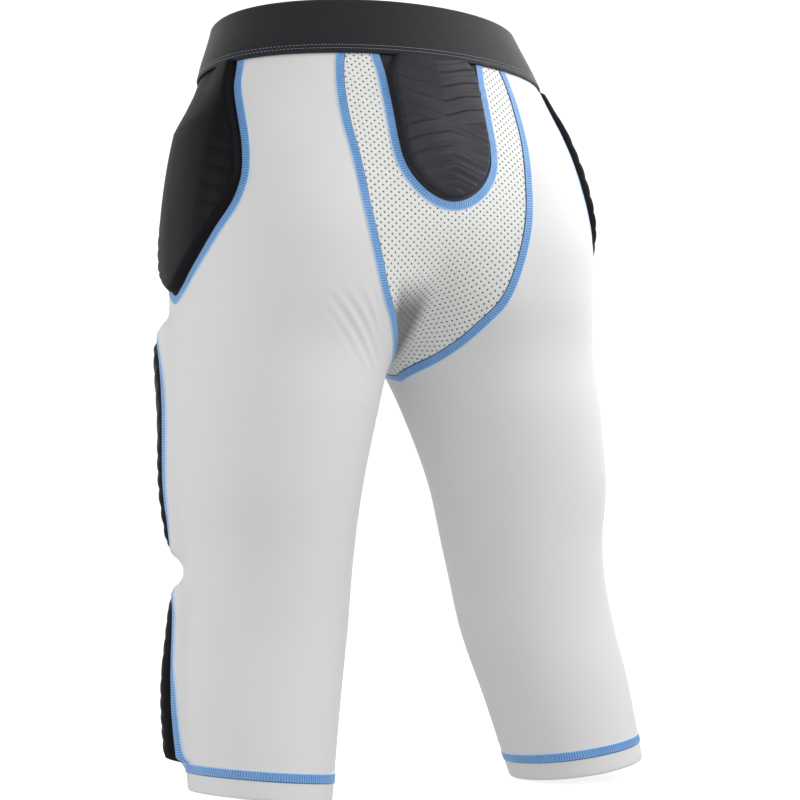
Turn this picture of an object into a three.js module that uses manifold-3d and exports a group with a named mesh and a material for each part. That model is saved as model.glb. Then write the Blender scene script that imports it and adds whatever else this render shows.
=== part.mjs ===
// A padded football girdle: stretch tights that end just below the knee, shown in their worn form.
// Two leg panels meet a perforated seat gusset. Seven foam pads are let into them: one over the
// tailbone, and one each at the hips, thighs and knees. An elastic waistband and turned hems finish it.
// Millimetres. +Z is up, -Y is the front, +X is the side of the left leg. The origin is the middle of
// the waist opening. Every outer face of plain cloth lies on one form, which sections describe.

import * as THREE from "three";
import { mergeVertices } from "three/addons/utils/BufferGeometryUtils.js";
import Module from "manifold-3d";

// Overall sizes
const GIRDLE_LENGTH = 644;
const HALF_HIP = 190;
const HALF_SEAT_DEPTH = 120;
const HEM_TILT_OUT = 0.133;
const HEM_TILT_BACK = 0.025;
const WAIST_TILT_BACK = 0.04;

// Cloth, elastic and hems
const FABRIC_WALL = 1.4;
const WAISTBAND_HEIGHT = 50;
const WAISTBAND_WALL = 1.8;
const WAISTBAND_TUCK = 8;
const HEM_HEIGHT = 18;
const HEM_WALL = 2.8;
const GAP = 0.3;

// Pads: how far each stands out of the cloth, its height, its half width as an angle round the leg or
// hip, and the angle of its middle line, from straight back round the outer side to straight front
const PAD_CLEAR_ANGLE = 5;
const FLANGE = 5;
const SHOULDER = 11;
const EDGE_LIFT = 9;
const LIFT_MARGIN = 8;
const LIFT_MARGIN_ANGLE = 12;
const LIFT_RAMP = 18;
const LIFT_RAMP_ANGLE = 13;
const LIFT_RAMP_AT_HEM = 8;
const TAIL_PAD_RISE = 8;
const TAIL_PAD_HALF_WIDTH = 47.5;
const TAIL_PAD_BOTTOM = 176;
const HIP_PAD_RISE = 10;
const HIP_PAD_ABOVE_THIGH_PAD = 15;
const HIP_PAD_HALF_ANGLE = 41.8;
const HIP_PAD_AXIS = 97;
const THIGH_PAD_RISE = 5;
const THIGH_PAD_ABOVE_CROTCH = 48;
const THIGH_PAD_ABOVE_KNEE_PAD = 20;
const THIGH_PAD_HALF_ANGLE = 52;
const THIGH_PAD_AXIS = 155;
const KNEE_PAD_RISE = 7;
const KNEE_PAD_HEIGHT = 147;
const KNEE_PAD_HALF_ANGLE = 57;
const KNEE_PAD_AXIS = 153;

// How finely the surfaces are cut into facets
const PANEL_STEPS = 28;
const GUSSET_STEPS = 6;
const BAND_STEPS = 96;
const HEM_STEPS = 28;
const FLAT_STEPS = 10;

// One half of the form, from the waist to the hem: down is a share of the girdle's length, centre and
// half are the section's middle and half width as shares of the half hip, and shift, front and back
// are its middle and half depths as shares of the half seat depth. square is its roundness, 2 being
// an ellipse.
const SECTIONS = [
  { down: 0.0, centre: 0.0, shift: 0.033, half: 0.653, front: 0.742, back: 0.667, square: 2.1 },
  { down: 0.068, centre: 0.095, shift: 0.117, half: 0.711, front: 0.783, back: 0.733, square: 2.15 },
  { down: 0.14, centre: 0.2, shift: 0.208, half: 0.705, front: 0.817, back: 0.792, square: 2.2 },
  { down: 0.217, centre: 0.289, shift: 0.242, half: 0.674, front: 0.883, back: 0.9, square: 2.25 },
  { down: 0.295, centre: 0.363, shift: 0.233, half: 0.626, front: 0.917, back: 0.975, square: 2.3 },
  { down: 0.373, centre: 0.437, shift: 0.217, half: 0.55, front: 0.9, back: 0.95, square: 2.25 },
  { down: 0.45, centre: 0.529, shift: 0.225, half: 0.476, front: 0.85, back: 0.842, square: 2.15 },
  { down: 0.528, centre: 0.585, shift: 0.3, half: 0.438, front: 0.767, back: 0.742, square: 2.1 },
  { down: 0.621, centre: 0.634, shift: 0.35, half: 0.406, front: 0.667, back: 0.65, square: 2.05 },
  { down: 0.714, centre: 0.647, shift: 0.367, half: 0.363, front: 0.583, back: 0.583, square: 2.05 },
  { down: 0.807, centre: 0.684, shift: 0.417, half: 0.353, front: 0.533, back: 0.533, square: 2.05 },
  { down: 0.9, centre: 0.742, shift: 0.517, half: 0.332, front: 0.508, back: 0.517, square: 2.05 },
  { down: 1.0, centre: 0.785, shift: 0.633, half: 0.293, front: 0.483, back: 0.517, square: 2.05 },
];

// How far apart the two halves begin to share the cloth between them, as a share of the half hip
const LEG_BLEND = 0.316;

// The seam between a leg panel and the gusset. At each height, a share of the girdle's length, it
// crosses the back and the front at these angles from straight back. Inward angles are negative.
const GUSSET_SEAM = [
  { down: 0.05, back: 33.4, front: -206 },
  { down: 0.1, back: 30.5, front: -204 },
  { down: 0.157, back: 23.4, front: -198 },
  { down: 0.222, back: 12.8, front: -190 },
  { down: 0.292, back: 3, front: -182 },
  { down: 0.354, back: -7.6, front: -166 },
  { down: 0.388, back: -16, front: -157 },
  { down: 0.411, back: -26, front: -147 },
  { down: 0.436, back: -40.5, front: -133 },
  { down: 0.455, back: -57, front: -120 },
  { down: 0.468, back: -75, front: -105 },
  { down: 0.4755, back: -90, front: -90 },
];

// Heights of the leg panel's rows below the crotch, as shares of the way from there to the hem
const LEG_ROWS = [0.07, 0.18, 0.3, 0.43, 0.56, 0.69, 0.82, 0.92, 1];

// Half widths of the pads from top to bottom: down is a share of the pad's height and wide a share of
// its half width
const HIP_PAD_SHAPE = [
  { down: 0, wide: 0.58 },
  { down: 0.15, wide: 0.66 },
  { down: 0.28, wide: 0.78 },
  { down: 0.4, wide: 0.9 },
  { down: 0.51, wide: 0.98 },
  { down: 0.58, wide: 1 },
  { down: 0.67, wide: 0.955 },
  { down: 0.75, wide: 0.83 },
  { down: 0.84, wide: 0.64 },
  { down: 0.92, wide: 0.39 },
  { down: 0.97, wide: 0.2 },
  { down: 1, wide: 0.0 },
];
const THIGH_PAD_SHAPE = [
  { down: 0, wide: 0.0 },
  { down: 0.02, wide: 0.42 },
  { down: 0.06, wide: 0.7 },
  { down: 0.12, wide: 0.89 },
  { down: 0.2, wide: 0.97 },
  { down: 0.35, wide: 1 },
  { down: 0.55, wide: 1 },
  { down: 0.75, wide: 0.985 },
  { down: 0.87, wide: 0.95 },
  { down: 0.94, wide: 0.84 },
  { down: 0.98, wide: 0.6 },
  { down: 0.995, wide: 0.32 },
  { down: 1, wide: 0.0 },
];
const KNEE_PAD_SHAPE = [
  { down: 0, wide: 0.0 },
  { down: 0.01, wide: 0.36 },
  { down: 0.04, wide: 0.68 },
  { down: 0.09, wide: 0.88 },
  { down: 0.17, wide: 0.95 },
  { down: 0.3, wide: 0.96 },
  { down: 0.45, wide: 0.96 },
  { down: 0.6, wide: 1 },
  { down: 0.8, wide: 1.02 },
  { down: 0.92, wide: 1.03 },
  { down: 1, wide: 1.06 },
];
const TAIL_PAD_SHAPE = [
  { down: 0, wide: 1.02 },
  { down: 0.2, wide: 1 },
  { down: 0.42, wide: 0.99 },
  { down: 0.62, wide: 0.98 },
  { down: 0.74, wide: 0.93 },
  { down: 0.84, wide: 0.79 },
  { down: 0.92, wide: 0.58 },
  { down: 0.98, wide: 0.29 },
  { down: 1, wide: 0.0 },
];

const wasm = await Module();
wasm.setup();

// The value of a table's column at a key, on a smooth curve through its rows
function along(rows, key, at, column) {
  const last = rows.length - 1;
  let i = 0;
  while (i < last - 1 && at > rows[i + 1][key]) i += 1;
  const slope = (k) => {
    const low = rows[Math.max(0, k - 1)];
    const high = rows[Math.min(last, k + 1)];
    return (high[column] - low[column]) / (high[key] - low[key]);
  };
  const span = rows[i + 1][key] - rows[i][key];
  const t = (at - rows[i][key]) / span;
  const a = rows[i][column];
  const b = rows[i + 1][column];
  const rise = a * (1 - t) ** 2 * (1 + 2 * t) + b * t * t * (3 - 2 * t);
  return rise + span * (slope(i) * t * (1 - t) ** 2 - slope(i + 1) * t * t * (1 - t));
}

// The section of one half of the form at a height below the waist
function sectionAt(z) {
  const share = THREE.MathUtils.clamp(-z / GIRDLE_LENGTH, 0, 1);
  const pick = (column) => along(SECTIONS, "down", share, column);
  return {
    x: pick("centre") * HALF_HIP,
    y: pick("shift") * HALF_SEAT_DEPTH,
    half: pick("half") * HALF_HIP,
    front: pick("front") * HALF_SEAT_DEPTH,
    back: pick("back") * HALF_SEAT_DEPTH,
    square: pick("square"),
  };
}

// Distance out of one half of the form, measured from the middle of its section
function halfField(section, x, y) {
  const dx = x - section.x;
  const dy = y - section.y;
  const depth = dy > 0 ? section.back : section.front;
  const reach = Math.hypot(dx, dy) + 1e-9;
  const n = section.square;
  const ratio = (Math.abs(dx / section.half) ** n + Math.abs(dy / depth) ** n) ** (1 / n) + 1e-9;
  return reach - reach / ratio;
}

// Distance out of the whole form: both halves, with the cloth stretched across the cleft between them
function bodyField(x, y, z) {
  const section = sectionAt(z);
  const left = halfField(section, x, y);
  const right = halfField(section, -x, y);
  const blend = LEG_BLEND * HALF_HIP;
  const near = Math.max(blend - Math.abs(left - right), 0) / blend;
  return Math.min(left, right) - (near * near * blend) / 4;
}

function bodyNormal(p) {
  const e = 0.5;
  return new THREE.Vector3(
    bodyField(p.x + e, p.y, p.z) - bodyField(p.x - e, p.y, p.z),
    bodyField(p.x, p.y + e, p.z) - bodyField(p.x, p.y - e, p.z),
    bodyField(p.x, p.y, p.z + e) - bodyField(p.x, p.y, p.z - e),
  ).normalize();
}

// The point where a ray leaves the form, starting inside it
function leaveBody(from, direction) {
  const step = 2;
  const p = from.clone();
  while (bodyField(p.x, p.y, p.z) < 0) p.addScaledVector(direction, step);
  let low = -step;
  let high = 0;
  for (let i = 0; i < 18; i += 1) {
    const middle = (low + high) / 2;
    const q = p.clone().addScaledVector(direction, middle);
    if (bodyField(q.x, q.y, q.z) < 0) low = middle;
    else high = middle;
  }
  return p.addScaledVector(direction, high);
}

// A place on the cloth: a point of the form and the way out of it
function spot(p) {
  return { p, out: bodyNormal(p) };
}

const clothTop = WAISTBAND_HEIGHT - WAISTBAND_TUCK;
const clothBottom = GIRDLE_LENGTH - HEM_HEIGHT - GAP;
const crotch = GUSSET_SEAM.at(-1).down * GIRDLE_LENGTH;
const kneePadTop = clothBottom - KNEE_PAD_HEIGHT;
const thighPadTop = crotch - THIGH_PAD_ABOVE_CROTCH;
const thighPadBottom = kneePadTop - THIGH_PAD_ABOVE_KNEE_PAD;

// Where the edges of the thick leg pads lift the cloth round them off the leg
const LIFT_ZONES = [
  {
    axis: THIGH_PAD_AXIS,
    half: THIGH_PAD_HALF_ANGLE + LIFT_MARGIN_ANGLE,
    top: thighPadTop - LIFT_MARGIN,
    bottom: thighPadBottom + LIFT_MARGIN,
    foot: LIFT_RAMP,
  },
  {
    axis: KNEE_PAD_AXIS,
    half: KNEE_PAD_HALF_ANGLE + LIFT_MARGIN_ANGLE,
    top: kneePadTop - LIFT_MARGIN,
    bottom: clothBottom,
    foot: LIFT_RAMP_AT_HEM,
  },
];

function edgeLift(angle, z) {
  const turn = THREE.MathUtils.euclideanModulo(angle, 360);
  const shares = LIFT_ZONES.map((zone) => {
    const inside = zone.half - Math.abs(turn - zone.axis);
    const across = THREE.MathUtils.smoothstep(inside, 0, LIFT_RAMP_ANGLE);
    const below = THREE.MathUtils.smoothstep(-z - zone.top, 0, LIFT_RAMP);
    return across * below * THREE.MathUtils.smoothstep(zone.bottom + z, 0, zone.foot);
  });
  return EDGE_LIFT * Math.max(...shares);
}

// The place at an angle from straight back, round one half of the form, at a height
function roundHalf(angle, z) {
  const section = sectionAt(z);
  const turn = THREE.MathUtils.degToRad(angle);
  const middle = new THREE.Vector3(section.x, section.y, z);
  const bare = spot(leaveBody(middle, new THREE.Vector3(Math.sin(turn), Math.cos(turn), 0)));
  const rise = edgeLift(angle, z);
  return { p: bare.p.clone().addScaledVector(bare.out, rise), out: bare.out };
}

// The same round the whole form, for the waistband
function roundWaist(angle, z) {
  const turn = THREE.MathUtils.degToRad(angle);
  const middle = new THREE.Vector3(0, sectionAt(z).y, z);
  return spot(leaveBody(middle, new THREE.Vector3(Math.sin(turn), Math.cos(turn), 0)));
}

// The place on the back at a distance from the middle line, at a height
function onBack(x, z) {
  return spot(leaveBody(new THREE.Vector3(x, sectionAt(z).y, z), new THREE.Vector3(0, 1, 0)));
}

// The place on the form nearest to a point
function nearest(point) {
  const p = point.clone();
  for (let i = 0; i < 12; i += 1) p.addScaledVector(bodyNormal(p), -bodyField(p.x, p.y, p.z));
  return spot(p);
}

// The stance: the waist is higher at the back, and each hem lies square to its splayed leg
function lean(p) {
  const section = sectionAt(p.z);
  const leg = THREE.MathUtils.clamp((-p.z / GIRDLE_LENGTH - 0.621) / 0.379, 0, 1);
  const waist = THREE.MathUtils.clamp(1 + p.z / (0.272 * GIRDLE_LENGTH), 0, 1);
  const out = Math.abs(p.x) - section.x;
  const back = p.y - section.y;
  const hem = leg * (HEM_TILT_OUT * out + HEM_TILT_BACK * back);
  return new THREE.Vector3(p.x, p.y, p.z + hem + waist * WAIST_TILT_BACK * back);
}

function lifted(place, rise) {
  return lean(place.p.clone().addScaledVector(place.out, rise));
}

// Triangles are gathered here and become a geometry of merged vertices
class Skin {
  constructor() {
    this.corners = [];
  }
  triangle(a, b, c) {
    for (const p of [a, b, c]) this.corners.push(p.x, p.y, p.z);
  }
  quad(a, b, c, d) {
    this.triangle(a, b, c);
    this.triangle(a, c, d);
  }
  geometry() {
    const made = new THREE.BufferGeometry();
    made.setAttribute("position", new THREE.Float32BufferAttribute(this.corners, 3));
    const merged = mergeVertices(made, 1e-4);
    return toGeometry(toSolid(merged));
  }
}

function toSolid(geometry) {
  const corners = geometry.getAttribute("position").array;
  const faces = new Uint32Array(geometry.getIndex().array);
  const mesh = new wasm.Mesh({ numProp: 3, vertProperties: corners, triVerts: faces });
  mesh.merge();
  const solid = new wasm.Manifold(mesh);
  return solid;
}

function toGeometry(solid) {
  const mesh = solid.getMesh();
  const made = new THREE.BufferGeometry();
  made.setAttribute("position", new THREE.Float32BufferAttribute(mesh.vertProperties, 3));
  made.setIndex(Array.from(mesh.triVerts));
  return made;
}

function cut(geometry, cutters) {
  const solid = cutters.reduce((left, c) => left.subtract(toSolid(c)), toSolid(geometry));
  return toGeometry(solid);
}

// A wall that covers a grid of places, each row as long as the next. Where a row's first and last
// places are one, the wall closes into a tube. Rows run down the form and places from back to front.
function clothWall(rows, low, high) {
  const skin = new Skin();
  const outer = rows.map((row) => row.map((place) => lifted(place, high)));
  const inner = rows.map((row) => row.map((place) => lifted(place, low)));
  const last = rows[0].length - 1;
  const bottom = rows.length - 1;
  const closed = (j) => outer[j][0].distanceTo(outer[j][last]) < 1e-3;
  for (let j = 0; j < bottom; j += 1) {
    for (let i = 0; i < last; i += 1) {
      skin.quad(outer[j][i], outer[j][i + 1], outer[j + 1][i + 1], outer[j + 1][i]);
      skin.quad(inner[j][i], inner[j + 1][i], inner[j + 1][i + 1], inner[j][i + 1]);
    }
    if (closed(j)) continue;
    skin.quad(outer[j][0], outer[j + 1][0], inner[j + 1][0], inner[j][0]);
    skin.quad(outer[j][last], inner[j][last], inner[j + 1][last], outer[j + 1][last]);
  }
  for (let i = 0; i < last; i += 1) {
    skin.quad(outer[0][i], inner[0][i], inner[0][i + 1], outer[0][i + 1]);
    skin.quad(outer[bottom][i], outer[bottom][i + 1], inner[bottom][i + 1], inner[bottom][i]);
  }
  return skin.geometry();
}

// One point of a line moved sideways along the cloth
function aside(line, i, distance) {
  const before = line[Math.max(0, i - 1)].p;
  const after = line[Math.min(line.length - 1, i + 1)].p;
  const across = after.clone().sub(before).cross(line[i].out).normalize();
  return { p: line[i].p.clone().addScaledVector(across, distance), out: line[i].out };
}

// The angle of the gusset's seam at the back or the front, at a height
function seamAngle(side, z) {
  const share = THREE.MathUtils.clamp(-z / GIRDLE_LENGTH, GUSSET_SEAM[0].down, GUSSET_SEAM.at(-1).down);
  return along(GUSSET_SEAM, "down", share, side);
}

// The rows of cloth down to the crotch: the height of each and the seam's angles there
const seamRows = [
  clothTop,
  ...GUSSET_SEAM.map((row) => row.down * GIRDLE_LENGTH).filter((down) => down > clothTop + 5),
].map((down) => ({ z: -down, back: seamAngle("back", -down), front: seamAngle("front", -down) }));

// Heights of the leg panel's rows below the crotch: evenly spread, with more where the cloth rises to
// the edge of a pad
function legHeights() {
  const steps = [thighPadBottom - LIFT_MARGIN, thighPadBottom + LIFT_MARGIN, kneePadTop - LIFT_MARGIN,
    kneePadTop + LIFT_MARGIN, clothBottom - LIFT_RAMP_AT_HEM, clothBottom].filter((down) => down > crotch + 8);
  const even = LEG_ROWS.map((share) => THREE.MathUtils.lerp(crotch, clothBottom, share));
  const clear = (down) => steps.every((step) => Math.abs(down - step) > 8);
  const rows = [...even.filter(clear), ...steps].sort((a, b) => a - b);
  return rows.filter((down, i) => i === 0 || down - rows[i - 1] > 1);
}

// The cloth of one leg, from the waistband to the hem, with its edge along the gusset seam
function legPanel() {
  const row = (back, front, z) =>
    Array.from({ length: PANEL_STEPS + 1 }, (_, i) =>
      roundHalf(THREE.MathUtils.lerp(back, front, i / PANEL_STEPS), z),
    );
  const hip = seamRows.map((seam) => row(seam.back, seam.front + 360, seam.z));
  const leg = legHeights().map((down) => row(-90, 270, -down));
  return clothWall([...hip, ...leg], -FABRIC_WALL, 0);
}

// The perforated gusset: from the back of the waist, between the legs, to the front of the waist
function seatGusset() {
  const back = seamRows.map((row) => roundHalf(row.back, row.z));
  const front = seamRows.map((row) => roundHalf(row.front, row.z));
  const seam = [...back, ...front.slice(0, -1).reverse()];
  const rows = seam.map((place, k) => {
    const edge = aside(seam, k, -GAP);
    const mirrored = (q) => new THREE.Vector3(-q.x, q.y, q.z);
    const row = [edge];
    for (let i = 1; i < GUSSET_STEPS; i += 1) {
      const share = 1 - (2 * i) / GUSSET_STEPS;
      row.push(nearest(new THREE.Vector3(edge.p.x * share, edge.p.y, edge.p.z)));
    }
    row.push({ p: mirrored(edge.p), out: mirrored(edge.out) });
    return row.reverse();
  });
  return clothWall(rows, -FABRIC_WALL, 0);
}

// The outline of a pad as pairs of across and height, from its top down one side and up the other.
// An inner limit, where a pad has one, keeps it clear of the gusset.
function padOutline({ shape, axis, half, top, height, limit = () => Infinity }) {
  const side = (sign) =>
    shape.map((row) => {
      const z = -(top + height * row.down);
      return { u: Math.min(axis + sign * half * row.wide, limit(z)), z };
    });
  const flat = (from, to) =>
    Array.from({ length: FLAT_STEPS - 1 }, (_, i) => ({
      u: THREE.MathUtils.lerp(from.u, to.u, (i + 1) / FLAT_STEPS),
      z: from.z,
    }));
  const right = side(1);
  const left = side(-1).reverse();
  const tip = (row) => row.wide === 0;
  const bottom = tip(shape[shape.length - 1]) ? [] : flat(right[right.length - 1], left[0]);
  const crown = tip(shape[0]) ? [] : flat(left[left.length - 1], right[0]);
  const ends = left.slice(bottom.length ? 0 : 1, crown.length ? undefined : -1);
  return [...right, ...bottom, ...ends, ...crown];
}

// Rings of places inside a pad's outline, each drawn in from the edge by a distance or by a share of
// what is then left. A top edge under the waistband is drawn in further, to stay flat beneath it.
function padRings(pad, insets, shares) {
  const outline = padOutline(pad);
  const centre = { u: pad.axis, z: -(pad.top + pad.height * pad.heart) };
  const middle = pad.place(centre.u, centre.z);
  const ring = (inset, share) =>
    outline.map((at) => {
      const reach = pad.place(at.u, at.z).p.distanceTo(middle.p);
      const tucked = pad.openTop && inset > 0 && at.z === -pad.top ? WAISTBAND_TUCK : 0;
      const keep = Math.max(0, 1 - (inset + tucked) / reach) * (1 - share);
      const u = THREE.MathUtils.lerp(centre.u, at.u, keep);
      return pad.place(u, THREE.MathUtils.lerp(centre.z, at.z, keep));
    });
  const last = insets[insets.length - 1];
  return {
    rings: [...insets.map((d) => ring(d, 0)), ...shares.map((s) => ring(last, s))],
    middle,
  };
}

// A skin that joins rings of points into bands and closes on the last one's middle
function bands(skin, rings, middle, facing) {
  const strip = (a, b, c, d) => (facing ? skin.quad(a, b, c, d) : skin.quad(d, c, b, a));
  rings.forEach((ring, j) => {
    ring.forEach((p, i) => {
      const next = (i + 1) % ring.length;
      if (j + 1 < rings.length) strip(p, ring[next], rings[j + 1][next], rings[j + 1][i]);
      else if (facing) skin.triangle(p, ring[next], middle);
      else skin.triangle(ring[next], p, middle);
    });
  });
}

// The edge wall between a ring and the one behind it
function rim(skin, upper, lower) {
  upper.forEach((p, i) => {
    const next = (i + 1) % upper.length;
    skin.quad(upper[next], p, lower[i], lower[next]);
  });
}

// A foam pad in its cloth cover: flat at the seam round it, then rising to a crowned face
function foamPad(pad) {
  const skin = new Skin();
  const front = padRings(pad, [0, FLANGE, (FLANGE + SHOULDER) / 2, SHOULDER], [0.35, 0.7]);
  const back = padRings(pad, [0], [0.35, 0.7]);
  const rises = [0, 0, 0.72, 1, 1, 1].map((share) => share * pad.rise);
  const face = front.rings.map((ring, j) => ring.map((place) => lifted(place, rises[j])));
  const rear = back.rings.map((ring) => ring.map((place) => lifted(place, -FABRIC_WALL)));
  bands(skin, face, lifted(front.middle, pad.rise), true);
  bands(skin, rear, lifted(back.middle, -FABRIC_WALL), false);
  rim(skin, face[0], rear[0]);
  return skin.geometry();
}

// The solid that cuts a pad's opening: the pad's outline with clearance, through the cloth. A pad that
// runs to the edge of the cloth is cut past it.
function padOpening(pad) {
  const depth = EDGE_LIFT + 3;
  const past = 12 / pad.height;
  const shares = [1, 0.75, 0.5, 0.25];
  const middle = { u: pad.axis, z: -(pad.top + pad.height * pad.heart) };
  const above = pad.openTop ? [{ down: -past, wide: pad.shape[0].wide }] : [];
  const below = pad.openBottom ? [{ down: 1 + past, wide: pad.shape.at(-1).wide }] : [];
  const line = padOutline({ ...pad, shape: [...above, ...pad.shape, ...below] });
  const rings = shares.map((share) =>
    line.map((at) => {
      const z = THREE.MathUtils.lerp(middle.z, at.z, share);
      return pad.place(THREE.MathUtils.lerp(middle.u, at.u, share), z);
    }),
  );
  const edge = rings[0];
  rings[0] = edge.map((place, i) => {
    const before = edge[(i + edge.length - 1) % edge.length];
    return aside([before, place, edge[(i + 1) % edge.length]], 1, GAP);
  });
  const skin = new Skin();
  const at = (rise) => rings.map((ring) => ring.map((place) => lifted(place, rise)));
  const heart = pad.place(middle.u, middle.z);
  bands(skin, at(depth), lifted(heart, depth), true);
  bands(skin, at(-depth), lifted(heart, -depth), false);
  const walls = [depth, 0, -FABRIC_WALL, -depth].map((rise) => at(rise)[0]);
  for (let j = 0; j < 3; j += 1) rim(skin, walls[j], walls[j + 1]);
  return skin.geometry();
}

// An elastic band round the waist, outside the top edge of the cloth
function waistband() {
  const clear = GAP + 0.3;
  const heights = [0, -WAISTBAND_HEIGHT / 2, -WAISTBAND_HEIGHT];
  const rows = heights.map((z) =>
    Array.from({ length: BAND_STEPS + 1 }, (_, i) => roundWaist((i * 360) / BAND_STEPS, z)),
  );
  return clothWall(rows, clear, clear + WAISTBAND_WALL);
}

// The turned hem of one leg, cloth on cloth
function hem() {
  const heights = [GIRDLE_LENGTH - HEM_HEIGHT, GIRDLE_LENGTH];
  const rows = heights.map((down) =>
    Array.from({ length: HEM_STEPS + 1 }, (_, i) => roundHalf(-90 + (i * 360) / HEM_STEPS, -down)),
  );
  return clothWall(rows, -HEM_WALL, 0);
}

const tailPad = {
  shape: TAIL_PAD_SHAPE,
  axis: 0,
  half: TAIL_PAD_HALF_WIDTH,
  top: clothTop,
  height: TAIL_PAD_BOTTOM - clothTop,
  heart: 0.5,
  rise: TAIL_PAD_RISE,
  openTop: true,
  place: onBack,
};
const hipPad = {
  shape: HIP_PAD_SHAPE,
  axis: HIP_PAD_AXIS,
  half: HIP_PAD_HALF_ANGLE,
  top: clothTop,
  height: thighPadTop - HIP_PAD_ABOVE_THIGH_PAD - clothTop,
  heart: 0.5,
  rise: HIP_PAD_RISE,
  openTop: true,
  place: roundHalf,
};
const thighPad = {
  shape: THIGH_PAD_SHAPE,
  axis: THIGH_PAD_AXIS,
  half: THIGH_PAD_HALF_ANGLE,
  top: thighPadTop,
  height: thighPadBottom - thighPadTop,
  heart: 0.5,
  limit: (z) => seamAngle("front", z) + 360 - PAD_CLEAR_ANGLE,
  rise: THIGH_PAD_RISE,
  place: roundHalf,
};
const kneePad = {
  shape: KNEE_PAD_SHAPE,
  axis: KNEE_PAD_AXIS,
  half: KNEE_PAD_HALF_ANGLE,
  top: kneePadTop,
  height: KNEE_PAD_HEIGHT,
  heart: 0.5,
  rise: KNEE_PAD_RISE,
  openBottom: true,
  place: roundHalf,
};

const stretchCloth = new THREE.MeshStandardMaterial({ color: 0xd9d8da, roughness: 0.75, metalness: 0 });
const perforatedCloth = new THREE.MeshStandardMaterial({ color: 0xd6d8d2, roughness: 0.8, metalness: 0 });
const padCover = new THREE.MeshStandardMaterial({ color: 0x26262c, roughness: 0.7, metalness: 0 });
const elastic = new THREE.MeshStandardMaterial({ color: 0x37363c, roughness: 0.85, metalness: 0 });

const girdle = new THREE.Group();

function add(name, geometry, material) {
  geometry.computeVertexNormals();
  const mesh = new THREE.Mesh(geometry, material);
  mesh.name = name;
  girdle.add(mesh);
  return mesh;
}

function addPair(name, geometry, material) {
  const other = toGeometry(toSolid(geometry).mirror([1, 0, 0]));
  add(name + "_left", geometry, material);
  add(name + "_right", other, material);
}

add("waistband", waistband(), elastic);
add("seat_gusset", cut(seatGusset(), [padOpening(tailPad)]), perforatedCloth);
add("tail_pad", foamPad(tailPad), padCover);
addPair("leg_panel", cut(legPanel(), [hipPad, thighPad, kneePad].map(padOpening)), stretchCloth);
addPair("hip_pad", foamPad(hipPad), padCover);
addPair("thigh_pad", foamPad(thighPad), padCover);
addPair("knee_pad", foamPad(kneePad), padCover);
addPair("hem", hem(), stretchCloth);

export default girdle;
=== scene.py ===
# %% [markdown]
# # A padded football girdle
#
# The object is a pair of stretch tights that end below the knee, with seven foam pads let into them.
# A imported CAD model gives the frame: where every panel and pad sits. This lesson rebuilds each soft
# panel with its real thickness, seams, stitches and moulded relief, and gives it a procedural finish.
# It starts by loading the frame.

# %% Load the frame
import math

import bpy
import numpy as np
from mathutils import Matrix, Vector


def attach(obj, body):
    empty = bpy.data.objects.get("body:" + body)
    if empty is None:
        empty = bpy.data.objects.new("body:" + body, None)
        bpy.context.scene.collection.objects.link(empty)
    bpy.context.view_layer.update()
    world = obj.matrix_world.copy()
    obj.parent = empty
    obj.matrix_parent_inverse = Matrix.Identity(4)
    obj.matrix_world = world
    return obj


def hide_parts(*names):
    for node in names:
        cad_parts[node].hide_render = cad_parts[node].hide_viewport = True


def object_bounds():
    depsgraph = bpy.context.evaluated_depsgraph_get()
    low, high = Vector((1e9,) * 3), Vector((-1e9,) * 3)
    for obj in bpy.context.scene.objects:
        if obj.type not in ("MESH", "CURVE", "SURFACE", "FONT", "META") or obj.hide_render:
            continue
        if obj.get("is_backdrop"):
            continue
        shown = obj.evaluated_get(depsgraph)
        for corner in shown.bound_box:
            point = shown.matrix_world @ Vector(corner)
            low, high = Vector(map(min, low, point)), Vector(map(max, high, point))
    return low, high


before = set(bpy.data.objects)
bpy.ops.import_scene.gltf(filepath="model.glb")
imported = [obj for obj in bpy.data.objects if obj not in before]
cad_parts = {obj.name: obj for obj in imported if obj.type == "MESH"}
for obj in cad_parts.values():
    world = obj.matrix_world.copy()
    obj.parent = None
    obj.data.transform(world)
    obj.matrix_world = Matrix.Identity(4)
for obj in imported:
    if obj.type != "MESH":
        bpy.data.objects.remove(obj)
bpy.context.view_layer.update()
print("frame nodes:", sorted(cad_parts))

# %% [markdown]
# ## The form
#
# Every panel lies on one smooth surface, the shape that the garment takes when it is worn. It could be
# sculpted, but then nothing would stay true to the frame. Here it is a small piece of mathematics with
# the same numbers as the CAD source: rounded sections down one half of the form, and a blend that
# stretches the cloth across the cleft between both halves. All sizes are in millimetres until a mesh
# is made.

# %% Sizes of the form
LENGTH = 644
HALF_HIP = 190
HALF_DEPTH = 120
HEM_TILT_OUT = 0.133
HEM_TILT_BACK = 0.025
WAIST_TILT_BACK = 0.04
LEG_BLEND = 0.316 * HALF_HIP
CLOTH = 1.4
BAND_HEIGHT = 50
BAND_TUCK = 8
HEM_HEIGHT = 18
GAP = 0.3
SHEET = 1.1
CROTCH_SHARE = 0.4755


def columns(names, rows):
    return dict(zip(names.split(), np.array(rows, float).T))


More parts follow.
